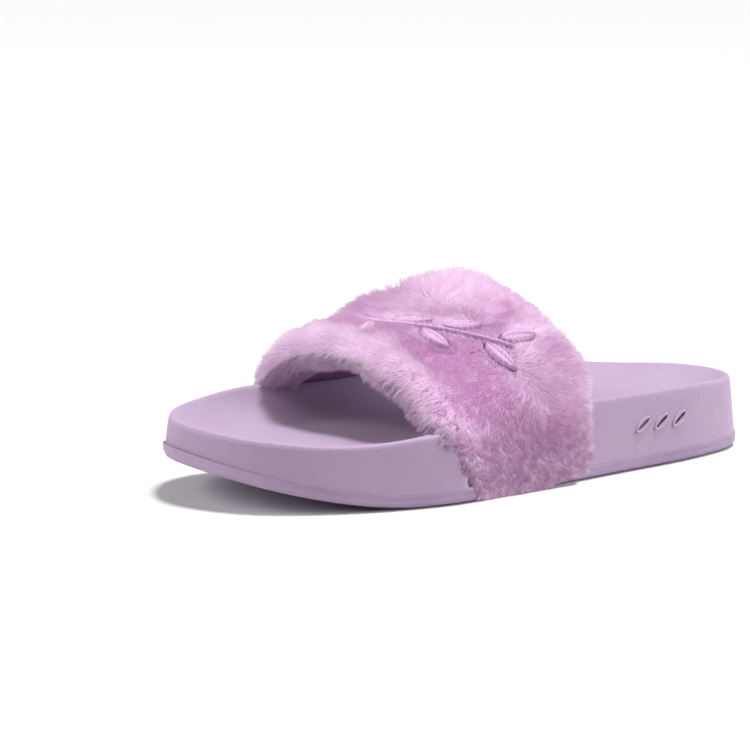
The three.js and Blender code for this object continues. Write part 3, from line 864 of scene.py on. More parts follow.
    def _leaf(self, bm: bmesh.types.BMesh, frame: Matrix) -> None:
        """Adds one raised leaf with a border and a sunk field.

        Args:
            bm: The bmesh that takes it.
            frame: Where it stands: along the wall, up the wall and outwards.
        """
        made = bmesh.ops.create_circle(bm, cap_ends=True, segments=28, radius=1.0)["verts"]
        for vertex in made:
            x, y = vertex.co.x, vertex.co.y
            pinch = (1 - abs(x) ** 1.7) ** 0.85 if abs(x) < 1 else 0.0
            vertex.co = Vector((x * self.mark_length / 2, math.copysign(pinch, y) * self.mark_width / 2, -0.8 * MM))
        bmesh.ops.remove_doubles(bm, verts=made, dist=0.02 * MM)
        made = [v for v in made if v.is_valid]
        face = next(f for f in made[0].link_faces if len(f.verts) > 8)
        top = bmesh.ops.extrude_face_region(bm, geom=[face])["geom"]
        lifted = [v for v in top if isinstance(v, bmesh.types.BMVert)]
        bmesh.ops.translate(bm, verts=lifted, vec=(0, 0, 1.45 * MM))
        field_face = next(f for f in top if isinstance(f, bmesh.types.BMFace))
        rim_edges = list(field_face.edges)
        bmesh.ops.inset_individual(bm, faces=[field_face], thickness=0.75 * MM, depth=0.0)
        bmesh.ops.inset_individual(bm, faces=[field_face], thickness=0.25 * MM, depth=-0.4 * MM)
        bmesh.ops.bevel(
            bm, geom=rim_edges, offset=0.22 * MM, segments=3, affect="EDGES", profile=0.5, material=-1
        )
        near = {v for f in bm.faces for v in f.verts if v not in self._done(bm)}
        bmesh.ops.rotate(bm, verts=list(near), cent=(0, 0, 0), matrix=Matrix.Rotation(self.mark_tilt, 3, "Z"))
        bmesh.ops.transform(bm, verts=list(near), matrix=frame)
        layer = bm.verts.layers.int.get("done") or bm.verts.layers.int.new("done")
        for vertex in bm.verts:
            vertex[layer] = 1

    @staticmethod
    def _done(bm: bmesh.types.BMesh) -> set[bmesh.types.BMVert]:
        """Returns the vertices that already stand where they belong."""
        layer = bm.verts.layers.int.get("done")
        return {v for v in bm.verts if v[layer] == 1} if layer else set()

    def _band(self) -> None:
        """Wraps the outsole's side in a smooth band with a fine ledge on top."""
        profile = (
            (-1.3, 1.0),
            (-0.35, 1.5),
            (0.0, 2.5),
            (0.16, 4.2),
            (0.2, 5.4),
            (0.14, 5.68),
            (-0.9, 5.74),
            (-1.6, 5.2),
            (-1.6, 1.2),
        )
        lift = self.bottom - 5.7 * MM
        rings = []
        for outset, height in profile:
            ring = self.outline + self.out * outset * MM
            ring[:, 2] = lift + height * MM
            rings.append(ring)
        band = self.shop.finish_piece(
            "outsole_side_band", closed_rings(rings, joined=True), self.rubber, "outsole_foam"
        )
        rounding = band.modifiers.new("rounding", "SUBSURF")
        rounding.levels = rounding.render_levels = 2


# ---------------------------------------------------------------- the strap


class Edge(Enum):
    """The strap's two free edges."""

    FRONT = -1
    REAR = 1


@dataclass
class StrapFace:
    """The strap's inside face, read from the lining: a grid of points from the outer side over to the inner.

    A place on it is given by along, from 0 at the outer ground to 1 at the inner ground, and by
    back, the distance behind the front edge. The strap lies aslant, further forward on the inner side.
    """

    lining: bpy.types.Object
    slant: float = 0.36
    base: float = 12 * MM
    ground: float = 1.2 * MM
    rows: int = 17
    arch_steps: int = 64
    columns: int = 161

    def read(self) -> None:
        """Feels for the lining's inside face and lays the grid over it."""
        probe = Probe(self.lining)
        level = probe.points[:, 1] - self.slant * probe.points[:, 0]
        self.front, self.rear = float(level.min()), float(level.max())
        self.width = self.rear - self.front
        rows = []
        for share in np.linspace(0.003, 0.997, self.rows):
            at = lerp(self.front, self.rear, share)
            arch = []
            for turn in np.linspace(0, math.pi, self.arch_steps + 1):
                direction = Vector((math.cos(turn), self.slant * math.cos(turn), math.sin(turn)))
                arch.append(probe.hit(Vector((0, at, self.base)), direction.normalized())[:])
            legs = np.linspace(self.ground, self.base - 0.5 * MM, 5)
            outer = [(arch[0][0], arch[0][1], z) for z in legs]
            inner = [(arch[-1][0], arch[-1][1], z) for z in legs[::-1]]
            rows.append(outer + arch[1:-1] + inner)
        grid = self._evenly(np.array(rows))
        for _ in range(8):
            grid[:, 1:-1] = (grid[:, :-2] + 2 * grid[:, 1:-1] + grid[:, 2:]) / 4
            grid[1:-1] = (grid[:-2] + 2 * grid[1:-1] + grid[2:]) / 4
        self.grid = grid
        self.backward = unit(np.gradient(grid, axis=0))
        self.inward = unit(np.gradient(grid, axis=1))
        normal = unit(np.cross(self.inward, self.backward))
        centre = np.array([0.0, grid[..., 1].mean(), self.base])
        self.normal = normal if (normal * (grid - centre)).sum() > 0 else -normal
        self.lengths = np.linalg.norm(np.diff(grid, axis=1), axis=2).sum(1)
        self.length = float(self.lengths.mean())
        columns = np.linspace(0, 1, self.columns)
        self.crowns = np.array([np.interp(0.0, -row[:, 0], columns) for row in grid])

    def _evenly(self, rows: np.ndarray) -> np.ndarray:
        """Spaces each row's points evenly along it."""
        out = np.zeros((len(rows), self.columns, 3))
        for j, row in enumerate(rows):
            travelled = np.r_[0, np.cumsum(np.linalg.norm(np.diff(row, axis=0), axis=1))]
            stops = np.linspace(0, travelled[-1], self.columns)
            for k in range(3):
                out[j, :, k] = np.interp(stops, travelled, row[:, k])
        return out

    def frame(self, along: np.ndarray, back: np.ndarray) -> tuple[np.ndarray, np.ndarray, np.ndarray]:
        """Returns the points, their outward normals and their rearward directions."""
        row = back / self.width
        point = bilinear(self.grid, along, row)
        return (
            point,
            unit(bilinear(self.normal, along, row)),
            unit(bilinear(self.backward, along, row)),
        )

    def off(self, along: np.ndarray, back: np.ndarray, depth: np.ndarray | float) -> np.ndarray:
        """Returns points that stand off the inside face by a depth."""
        point, normal, _ = self.frame(along, back)
        return point + normal * np.reshape(depth, (-1, 1))

    def from_crown(self, across: np.ndarray, back: np.ndarray) -> np.ndarray:
        """Returns how far along a place is that lies across from the crown, outer side positive."""
        row = np.linspace(0, 1, self.rows)
        at = np.clip(back / self.width, 0, 1)
        return np.interp(at, row, self.crowns) - across / np.interp(at, row, self.lengths)

    def to_crown(self, along: np.ndarray, back: np.ndarray) -> np.ndarray:
        """Returns how far across from the crown a place lies, outer side positive."""
        row = np.linspace(0, 1, self.rows)
        at = np.clip(back / self.width, 0, 1)
        return (np.interp(at, row, self.crowns) - along) * np.interp(at, row, self.lengths)


@dataclass
class StrapLayers:
    """The lining, reinforcement and padding under the plush, as closed shells on the strap's face."""

    shop: Workshop
    face: StrapFace
    lining: ClothFinish = ClothFinish("lining_knit", yarn="8d5c98", gap="64406f", pitch=0.8 * MM)
    web: ClothFinish = ClothFinish("reinforcement_web", yarn="d8cbe0", gap="a392ad", pitch=1.6 * MM, relief=0.3 * MM)
    padding: PaddingFinish = PaddingFinish()
    front_give: float = 12 * MM
    tuck_length: float = 12 * MM
    tuck_corner: float = 2.5 * MM

    def give(self, along: np.ndarray) -> np.ndarray:
        """Returns how far the front edge draws back, low on the outer side."""
        height = self.face.grid[0, :, 2]
        columns = np.linspace(0, 1, self.face.columns)
        z = np.interp(along, columns, height)
        return self.give_at(z) * (along < 0.5)

    def give_at(self, height: np.ndarray) -> np.ndarray:
        """Returns how far the front edge draws back at a height on the outer side."""
        return self.front_give * ease(38 * MM, 2 * MM, height)

    def build(self) -> None:
        """Builds and dresses the three layers."""
        lining = self._layer("strap_lining_cloth", 0.0, 1.0 * MM, self.lining, "lining_knit", ("strap_lining",), True)
        web = self._layer(
            "strap_web", 1.3 * MM, 2.1 * MM, self.web, "reinforcement_web", ("strap_reinforcement",), True
        )
        padding = self._layer(
            "strap_padding", 2.4 * MM, 4.6 * MM, self.padding, "padding_foam", ("strap_foam",), False
        )

    def _layer(
        self,
        name: str,
        low: float,
        high: float,
        finish: object,
        slot: str,
        stands_for: tuple[str, ...],
        tucked: bool,
    ) -> bpy.types.Object:
        """Builds one layer between two depths.

        Args:
            name: The piece's name.
            low: Depth of its inner side.
            high: Depth of its outer side.
            finish: Its finish.
            slot: Its material slot.
            stands_for: The frame's nodes that it replaces.
            tucked: Whether its ends turn in under the midsole; otherwise it stops above the tuck.

        Returns:
            The new object.
        """
        bm = thick_grid(
            150,
            26,
            lambda at: self._leaf(at, low, tucked),
            lambda at: self._leaf(at, high, tucked),
            (self.face.length, self.face.width),
        )
        return self.shop.finish_piece(name, bm, finish, slot, stands_for)

    def _leaf(self, at: np.ndarray, depth: float, tucked: bool) -> np.ndarray:
        """Returns one side of a layer: points over the arch, down the sides and, if tucked, in under the sole."""
        along = at[:, 0]
        if not tucked:
            start = 14 * MM / self.face.length
            along = start + along * (1 - 2 * start)
            back = self.give(along) + at[:, 1] * (self.face.width - self.give(along))
            return self.face.off(along, back, depth)
        leg = 9 * MM / self.face.length
        corner = self.tuck_corner
        turn_length = math.pi / 2 * corner
        over = 1 - 2 * leg
        total = over * self.face.length + 2 * (turn_length + self.tuck_length)
        travelled = along * total - (turn_length + self.tuck_length)
        on_arch = np.clip(leg + travelled / self.face.length, leg, 1 - leg)
        back = self.give(on_arch) + at[:, 1] * (self.face.width - self.give(on_arch))
        point, normal, _ = self.face.frame(on_arch, back)
        past = np.maximum(-travelled, travelled - over * self.face.length)
        past = np.maximum(past, 0.0)
        turn = np.minimum(past / corner, math.pi / 2)
        level = unit(normal * np.array([1.0, 1.0, 0.0]))
        centre = point - level * corner
        down = np.array([0.0, 0.0, -1.0])
        facing = level * np.cos(turn)[:, None] + down * np.sin(turn)[:, None]
        straight = np.maximum(past - turn_length, 0.0)
        bent = centre + facing * (corner + depth) - level * straight[:, None]
        flat = point + normal * depth
        return np.where((past > 0)[:, None], bent, flat)


@dataclass
class Sprig:
    """A leafy sprig in satin stitch, sunk in the parted plush.

    Its lines are drawn in the flattened strap: across from the crown, outer side positive, and
    back from the front edge.
    """

    shop: Workshop
    face: StrapFace
    thread: ThreadFinish = ThreadFinish("embroidery_thread", tone="d0a6cd", shade="b080ae")
    stem: tuple[tuple[float, float], ...] = ((-22, 26), (-8, 21), (6, 24), (19, 33), (30, 45))
    stem_width: float = 2.6 * MM
    leaf_length: float = 14 * MM
    leaf_width: float = 6.6 * MM
    leaf_pairs: int = 3
    leaf_angle: float = 0.75
    pitch: float = 0.8 * MM
    base_depth: float = 8.5 * MM
    crown: float = 1.5 * MM

    def plan(self) -> None:
        """Draws the stem and the leaves as lines of places with a half width at each."""
        knots = np.array(self.stem, dtype=float) * MM
        steps = np.linspace(0, len(knots) - 1, 160)
        line = np.array([self._through(knots, s) for s in steps])
        width = self.stem_width / 2 * np.linspace(1, 0.6, len(line))
        self.lines = {"stem": (line, width)}
        travelled = np.r_[0, np.cumsum(np.linalg.norm(np.diff(line, axis=0), axis=1))]
        clear = (self.stem_width / 2 + 0.9 * MM) / math.sin(self.leaf_angle)
        for pair in range(self.leaf_pairs):
            for side in (-1, 1):
                share = min((pair + 0.6 + side * 0.14) / self.leaf_pairs, 1.0)
                stop = share * travelled[-1]
                root = np.array([np.interp(stop, travelled, line[:, k]) for k in (0, 1)])
                ahead = np.array([np.interp(stop + MM, travelled, line[:, k]) for k in (0, 1)]) - root
                if not ahead.any():
                    ahead = line[-1] - line[-2]
                heading = math.atan2(ahead[1], ahead[0]) + side * self.leaf_angle
                out = np.array([math.cos(heading), math.sin(heading)])
                curl = np.array([-out[1], out[0]]) * -side
                reach = np.linspace(0, 1, 60)
                rib = root + np.outer(clear + reach * self.leaf_length, out)
                rib += np.outer(reach**2 * self.leaf_length * 0.16, curl)
                half = np.maximum(self.leaf_width / 2 * np.sin(math.pi * reach**0.85) ** 0.8, 0.15 * MM)
                self.lines[f"leaf_{pair * 2 + (side + 3) // 2}"] = (rib, half)

    @staticmethod
    def _through(knots: np.ndarray, at: float) -> np.ndarray:
        """Returns a point on a smooth curve through the knots."""
        i = min(int(at), len(knots) - 2)
        t = at - i
        a, b = knots[max(i - 1, 0)], knots[i]
        c, d = knots[i + 1], knots[min(i + 2, len(knots) - 1)]
        return 0.5 * ((2 * b) + (c - a) * t + (2 * a - 5 * b + 4 * c - d) * t**2 + (3 * b - a - 3 * c + d) * t**3)

    def clearance(self, across: np.ndarray, back: np.ndarray) -> tuple[np.ndarray, np.ndarray]:
        """Measures places against the embroidery.

        Args:
            across: Distance from the crown, outer side positive.
            back: Distance behind the front edge.

        Returns:
            How far each place is outside the nearest thread, and the direction away from it.
        """
        centres = np.vstack([line[::2] for line, _ in self.lines.values()])
        radii = np.concatenate([half[::2] for _, half in self.lines.values()])
        best = np.full(len(across), np.inf)
        away = np.zeros((len(across), 2))
        for centre, radius in zip(centres, radii):
            step = np.stack([across - centre[0], back - centre[1]], 1)
            distance = np.linalg.norm(step, axis=1)
            gap = distance - radius
            closer = gap < best
            best[closer] = gap[closer]
            away[closer] = step[closer] / np.maximum(distance[closer, None], 1e-9)
        return best, away

    def build(self) -> None:
        """Builds and dresses the stem and every leaf."""
        for name, (line, half) in self.lines.items():
            self._satin(f"satin_{name}", line, half, f"embroidery_{name}")

    def _satin(self, name: str, line: np.ndarray, half: np.ndarray, node: str) -> None:
        """Lays satin stitches side by side along a line.

        Args:
            name: The piece's name.
            line: The line's places, across and back.
            half: Half the width at each place.
            node: The frame's node that it replaces.
        """
        travelled = np.r_[0, np.cumsum(np.linalg.norm(np.diff(line, axis=0), axis=1))]
        stitches = max(int(travelled[-1] / self.pitch), 4)

        def laid(at: np.ndarray, low: bool) -> np.ndarray:
            side = at[:, 1] * 2 - 1
            slip = 0.35 * np.abs(side) * self.stem_width
            stop = np.clip(at[:, 0] * travelled[-1] + slip * (1 - at[:, 0]) * at[:, 0] * 4, 0, travelled[-1])
            centre = np.stack([np.interp(stop, travelled, line[:, k]) for k in (0, 1)], 1)
            ahead = unit(np.stack([np.interp(stop, travelled, np.gradient(line[:, k])) for k in (0, 1)], 1))
            reach = np.interp(stop, travelled, half)
            ridge = 0.5 + 0.5 * np.cos(2 * math.pi * at[:, 0] * stitches)
            ragged = 1 + 0.05 * np.cos(at[:, 0] * stitches * 2.4)
            spot = centre + np.stack([-ahead[:, 1], ahead[:, 0]], 1) * (side * reach * ragged)[:, None]
            if low:
                return self._on_strap(spot, np.full(len(at), self.base_depth - 3.4 * MM))
            dome = np.sqrt(np.clip(1 - np.abs(side) ** 2.6, 0, 1))
            if reach.max() > 2 * MM:
                dome = dome * (1 - 0.5 * np.exp(-((side / 0.2) ** 2)))
            return self._on_strap(spot, self.base_depth + self.crown * dome * (0.78 + 0.22 * ridge))

        bm = thick_grid(stitches * 4, 10, lambda at: laid(at, True), lambda at: laid(at, False))
        self.shop.finish_piece(name, bm, self.thread, "embroidery_thread", (node,))

    def _on_strap(self, places: np.ndarray, depth: np.ndarray) -> np.ndarray:
        """Returns points on the strap for places of the flattened one."""
        along = self.face.from_crown(places[:, 0], places[:, 1])
        return self.face.off(along, places[:, 1], depth)


@dataclass
class EdgeStitching:
    """A row of sewn stitches inside each edge of the strap."""

    shop: Workshop
    face: StrapFace
    thread: ThreadFinish = ThreadFinish("sewing_thread", tone="a783ad", shade="8a6792", roughness=0.5)
    inset: float = 4 * MM
    stitch: float = 2.5 * MM
    gap: float = 0.7 * MM
    thickness: float = 0.55 * MM

    def build(self) -> None:
        """Builds both rows."""
        for edge, node, start in (
            (Edge.FRONT, "front_edge_stitching", 0.2),
            (Edge.REAR, "rear_edge_stitching", 0.17),
        ):
            self._row(edge, node, start)

    def _row(self, edge: Edge, node: str, start: float) -> None:
        """Sews one row of stitches from one side of the arch to the other."""
        back = self.inset if edge is Edge.FRONT else self.face.width - self.inset
        count = int((1 - 2 * start) * self.face.length / (self.stitch + self.gap))
        bm = bmesh.new()
        for k in range(count):
            along = start + (1 - 2 * start) * (k + 0.5) / count
            reach = self.stitch / 2 / self.face.length
            ends = self.face.off(np.array([along - reach, along + reach]), np.array([back, back]), -0.25 * MM)
            middle = Vector(ends.mean(0))
            run = (Vector(ends[1]) - Vector(ends[0])).normalized()
            made = bmesh.ops.create_uvsphere(bm, u_segments=6, v_segments=6, radius=0.5)["verts"]
            turn = run.to_track_quat("Z", "Y").to_matrix().to_4x4()
            size = Matrix.Diagonal((self.thickness, self.thickness, self.stitch, 1))
            bmesh.ops.transform(bm, verts=made, matrix=Matrix.Translation(middle) @ turn @ size)
        self.shop.finish_piece(f"{edge.name.lower()}_edge_stitches", bm, self.thread, "seam_thread", (node,))


@dataclass
class Plush:
    """The plush: a backing that rolls round both edges of the strap, covered in bent tapering fibres."""

    shop: Workshop
    face: StrapFace
    layers: StrapLayers
    sprig: Sprig
    pile: PileFinish = PileFinish()
    ground: ClothFinish = ClothFinish("plush_ground_knit", yarn="9a6a95", gap="7d527a", pitch=0.7 * MM)
    seed: int = 7
    backing: float = 4.9 * MM
    roll: float = 2.6 * MM
    hem: float = 2.5 * MM
    lip_turn: float = 1.15
    spacing: float = 0.44 * MM
    edge_crowding: float = 1.9
    panels: int = 8
    side_length: float = 6.2 * MM
    top_length: float = 10.2 * MM
    ground_clearance: float = 0.9 * MM
    rear_rise: float = 4.5 * MM
    lattice: int = 72

    def build(self) -> None:
        """Builds every panel of the plush."""
        self.rng = np.random.default_rng(self.seed)
        self.edge = math.pi * self.roll + self.hem
        self.span = self.face.width
        self.fields = {
            "turn": self._field(55, 3.1),
            "sweep": self._field(55, 9.7),
            "length": self._field(70, 5.5),
            "tone": self._field(62, 12.0),
            "patch": self._field(30, 21.0),
            "fleck": self._field(330, 31.0),
        }
        self._ground_cloth()
        rows = self._rows()
        lip = int(np.searchsorted(rows, -self.lip_turn * self.roll))
        for half in range(2):
            self._panel(f"plush_lip_{half + 1}", half / 2, (half + 1) / 2, rows[: lip + 1])
        for k in range(self.panels):
            piece = self._panel(f"plush_{k + 1}", k / self.panels, (k + 1) / self.panels, rows[lip:])
            piece.visible_shadow = False  # light passes between and through fine fibres

    def _ground_cloth(self) -> None:
        """Lays the knitted ground of the plush under the fibres, rolled round both edges."""

        def side(at: np.ndarray, below: float) -> np.ndarray:
            skin = self._skin(at[:, 0], lerp(-self.edge, self.span + self.edge, at[:, 1]))
            points = skin["point"] - skin["normal"] * below
            points[:, 2] = np.maximum(points[:, 2], self.ground_clearance)
            return points

        shell = thick_grid(
            140,
            48,
            lambda at: side(at, 0.45 * MM),
            lambda at: side(at, 0.05 * MM),
            (self.face.length, self.span + 2 * self.edge),
        )
        self.shop.finish_piece("plush_ground", shell, self.ground, "plush_fur", ("fur_shell",))

    def _field(self, scale: float, seed: float) -> np.ndarray:
        """Makes smooth noise over the whole plush, once, on a lattice."""
        along = np.linspace(0, self.face.length, 3 * self.lattice)
        across = np.linspace(-self.edge, self.span + self.edge, self.lattice)
        rows = [
            [noise.fractal(Vector((x * scale, y * scale, seed)), 0.9, 2.1, 3) for x in along] for y in across
        ]
        return np.array(rows)[:, :, None]

    def _read_field(self, name: str, along: np.ndarray, across: np.ndarray) -> np.ndarray:
        """Returns a field's noise at places of the plush."""
        row = (across + self.edge) / (self.span + 2 * self.edge)
        return bilinear(self.fields[name], along, row)[:, 0]

    def _skin(self, along: np.ndarray, across: np.ndarray) -> dict[str, np.ndarray]:
        """Finds the backing's surface.

        Args:
            along: From the outer ground to the inner ground, 0 to 1.
            across: Distance behind the front edge; below 0 and past the span it goes round the rolls.

        Returns:
            Points, normals, rearward directions, how far round a roll each is, and its distance back.
        """
        give = self.layers.give(along)
        inside = np.clip(across / self.span, 0, 1)
        raised = self.rear_rise / self.face.length * ease(0.45, 1.0, inside)
        along = along + raised * np.clip(1 - along / 0.12, 0, 1) - raised * np.clip(1 - (1 - along) / 0.12, 0, 1)
        back = give + (self.span - give) * inside
        past = np.where(across < 0, -across, np.maximum(across - self.span, 0.0))
        sign = np.where(across < 0, -1.0, 1.0)
        turn = np.minimum(past / self.roll, math.pi)
        under = np.maximum(past - math.pi * self.roll, 0.0)
        point, normal, rearward = self.face.frame(along, back - sign * under)
        centre = point + normal * (self.backing - self.roll)
        facing = normal * np.cos(turn)[:, None] + rearward * (sign * np.sin(turn))[:, None]
        return {
            "point": centre + facing * self.roll,
            "normal": facing,
            "rearward": rearward,
            "outward": normal,
            "turn": turn * sign,
            "back": back,
        }

    def _rows(self) -> np.ndarray:
        """Returns places across the plush, crowded on the rolls."""
        fine = np.linspace(-self.edge, self.span + self.edge, 800)
        past = np.maximum(-fine, fine - self.span)
        density = 1 + (self.edge_crowding - 1) * ease(-4 * MM, 2 * MM, past)
        travelled = np.r_[0, np.cumsum((density[1:] + density[:-1]) / 2 * np.diff(fine))]
        count = int(travelled[-1] / self.spacing)
        return np.interp(np.linspace(0, travelled[-1], count + 1), travelled, fine)

    def _panel(self, name: str, start: float, end: float, rows: np.ndarray) -> bpy.types.Object:
        """Grows one panel of the plush, from a grid of skin to one bent fibre on each triangle.

        Args:
            name: The panel's name.
            start: Where it starts along the strap.
            end: Where it ends.
            rows: Its places across the plush.

        Returns:
            The new piece.
        """
        columns = max(int(round((end - start) * self.face.length / self.spacing)), 2)
        bm = bmesh.new()
        bmesh.ops.create_grid(bm, x_segments=columns, y_segments=len(rows) - 1, size=0.5)
        bmesh.ops.reverse_faces(bm, faces=bm.faces[:])
        bmesh.ops.triangulate(bm, faces=bm.faces[:])
        roots = len(bm.verts)
        grid = np.array([v.co[:2] for v in bm.verts]) + 0.5
        corners = np.array([[v.index for v in f.verts] for f in bm.faces])
        fibres = len(corners)
        tops = bmesh.ops.extrude_discrete_faces(bm, faces=bm.faces[:])["faces"]
        bmesh.ops.poke(bm, faces=tops)
        mesh = bpy.data.meshes.new("panel")
        bm.to_mesh(mesh)
        bm.free()

        inner = ((grid > 1e-6) & (grid < 1 - 1e-6)).all(1)[:, None]
        jitter = self.rng.normal(0, 0.24, (roots, 2)) * inner * self.spacing
        along = start + grid[:, 0] * (end - start) + jitter[:, 0] / self.face.length
        across = np.interp(grid[:, 1] * (len(rows) - 1), np.arange(len(rows)), rows) + jitter[:, 1] * 0.7
        skin = self._skin(along, across)
        hairs = {key: value[corners].mean(1) for key, value in skin.items()}
        hairs["normal"] = unit(hairs["normal"])
        places = (along[corners].mean(1), across[corners].mean(1))
        base = skin["point"][corners]
        root = base.mean(1)
        growth = self._growth(hairs, root, *places)
        middle, tip = self._bend(hairs, growth)
        middle, tip, own = self._clump(root, middle, tip, growth)
        fleck = self.rng.normal(0, 0.2, fibres)[own] * (1 - 0.5 * ease(20 * MM, 50 * MM, root[:, 2]))
        growth["tone"] = np.clip(growth["tone"] + fleck, 0.03, 0.97)
        ring = (root + middle)[:, None, :] + (base - root[:, None, :]) * growth["body"][:, None, None]
        points = np.vstack([skin["point"], ring.reshape(-1, 3), root + tip])
        points[:, 2] = np.maximum(points[:, 2], self.ground_clearance)
        positions(mesh, points)
        self._map(mesh, roots, fibres, growth["tone"])
        piece = self.shop.finish_piece(name, mesh, self.pile, "plush_fur", ("fur_shell",))
        self._shade(piece, roots, hairs["normal"], skin["normal"], fibres)
        return piece

    def _growth(
        self, hairs: dict[str, np.ndarray], root: np.ndarray, along: np.ndarray, across: np.ndarray
    ) -> dict[str, np.ndarray]:
        """Decides each fibre's length, lean, direction, body and tone.

        Args:
            hairs: The skin at each fibre.
            root: Where each fibre grows from.
            along: Its place along the strap.
            across: Its place across the plush.

        Returns:
            Length, lean, lay, clump, body and tone by name, one for each fibre.
        """
        rng, count = self.rng, len(root)
        normal, rearward = hairs["normal"], hairs["rearward"]
        high = ease(14 * MM, 44 * MM, root[:, 2])
        low = ease(16 * MM, 3 * MM, root[:, 2])
        inner = ease(0.45, 0.75, along)
        share = across / self.span
        front = ease(0.30, 0.02, share)
        rear = ease(0.80, 1.0, share)
        turned = hairs["turn"]
        lip = ease(1.1, 2.7, -turned)
        rear_lip = ease(0.9, 2.4, turned)

        to_crown = self.face.to_crown(along, hairs["back"])
        clear, away = self.sprig.clearance(to_crown, hairs["back"])
        parted = ease(5.0 * MM, 0.3 * MM, clear) * (np.abs(turned) < 0.1)
        under_thread = clear < 0.1 * MM

        length = self.side_length + (self.top_length - self.side_length) * high
        length = length + 2.4 * MM * front * (0.35 + 0.65 * inner) * high
        length = length + 6.5 * MM * ease(0.46, 0.62, along) * ease(0.2, 0.5, share) * high
        length *= 1 + 0.2 * self._read_field("length", along, across)
        length *= rng.uniform(0.84, 1.06, count)
        length *= (1 - 0.62 * lip) * (1 - 0.5 * rear_lip)
        length *= 1 - 0.3 * low
        length *= 1 - 0.42 * parted
        length = np.where(under_thread, 0.8 * MM, length)

        down = np.zeros_like(root)
        down[:, 2] = -1.0
        down -= normal * (down * normal).sum(1)[:, None]
        ahead = ease(0.82, 0.62, share)
        sideways = unit(np.cross(normal, rearward))
        lay = rearward * (1 - 2 * ahead)[:, None] * (0.35 + 0.65 * high)[:, None]
        lay += down * (0.55 + 0.9 * (1 - high))[:, None]
        turn_noise = self._read_field("turn", along, across)
        sweep_noise = self._read_field("sweep", along, across)
        lay += sideways * (0.75 * turn_noise)[:, None] + rearward * (0.6 * sweep_noise)[:, None]
        lay += rng.normal(0, 0.16, lay.shape) * (1 + 1.6 * (1 - high))[:, None]
        spread = -sideways_of(self.face, along, hairs["back"]) * away[:, :1] + rearward * away[:, 1:]
        lay += spread * (0.35 * parted)[:, None]
        lay -= normal * (lay * normal).sum(1)[:, None]
        lay = unit(lay)

        lean = 0.46 + 0.16 * high - 0.14 * front - 0.08 * rear
        lean = (lean + rng.normal(0, 0.11, count)) * (1 - 0.45 * parted)
        lean = lean * (1 - 0.45 * lip)
        tufted = ease(0.42, 0.2, along) * ease(0.03, 0.14, along) * ease(0.1, -0.02, share)
        length *= 1 + 0.22 * tufted

        # deeper on top and paler low on the sides: partly the plush's own colour, partly painted to even out the
        # overhead light, which reaches the top and misses the sides
        tone = 0.48 - 0.30 * high + 0.30 * self._read_field("tone", along, across) + 0.52 * self._read_field("patch", along, across)
        tone += 0.6 * ease(0.16, -0.03, share) * (0.04 + 0.96 * high)
        # painted light: the rear edge is paler, standing in for light shining through the fibre tips there from
        # behind
        tone += 0.1 * rear * high + 0.14 * rear
        tone -= 0.16 * ease(0.12, 0.3, share) * ease(0.62, 0.4, share) * high
        # painted light: paler next to the embroidery, to lift the shade that falls into the parted fibres there
        tone += 0.26 * ease(5 * MM, 0.5 * MM, clear) * (np.abs(turned) < 0.1)
        tone += 0.22 * self._read_field("fleck", along, across) * (1.3 - 0.8 * high)
        tone += rng.normal(0, 0.09, count)
        return {
            "length": length,
            "lean": lean,
            "lay": lay,
            "clump": 0.34 + 0.3 * tufted + 0.2 * (1 - high),
            "body": np.where(under_thread, 0.9, 0.62),
            "tone": np.clip(tone, 0.03, 0.97),
        }

    @staticmethod
    def _bend(hairs: dict[str, np.ndarray], growth: dict[str, np.ndarray]) -> tuple[np.ndarray, np.ndarray]:
        """Returns each fibre's bend and tip, measured from its root."""
        normal, lay, lean = hairs["normal"], growth["lay"], growth["lean"]

        def run(share: float, angle: np.ndarray) -> np.ndarray:
            direction = normal * np.cos(angle)[:, None] + lay * np.sin(angle)[:, None]
            return direction * (growth["length"] * share)[:, None]

        middle = run(0.52, lean * 0.5)
        return middle, middle + run(0.52, np.minimum(lean * 1.7, 1.75))

    def _clump(
        self, root: np.ndarray, middle: np.ndarray, tip: np.ndarray, growth: dict[str, np.ndarray]
    ) -> tuple[np.ndarray, np.ndarray, np.ndarray]:
        """Draws the fibres of each small clump together, and returns each one's leader too."""
        count = len(root)
        leaders = self.rng.choice(count, max(count // 26, 1), replace=False)
        tree = kdtree.KDTree(len(leaders))
        for k, i in enumerate(leaders):
            tree.insert(Vector(root[i]), k)
        tree.balance()
        own = leaders[np.array([tree.find(Vector(p))[1] for p in root])]
        pull = (growth["clump"] * self.rng.uniform(0.4, 1.2, count))[:, None]
        tip = tip + ((root[own] + tip[own]) - (root + tip)) * pull
        middle = middle + ((root[own] + middle[own]) - (root + middle)) * pull * 0.25
        return middle, tip, own

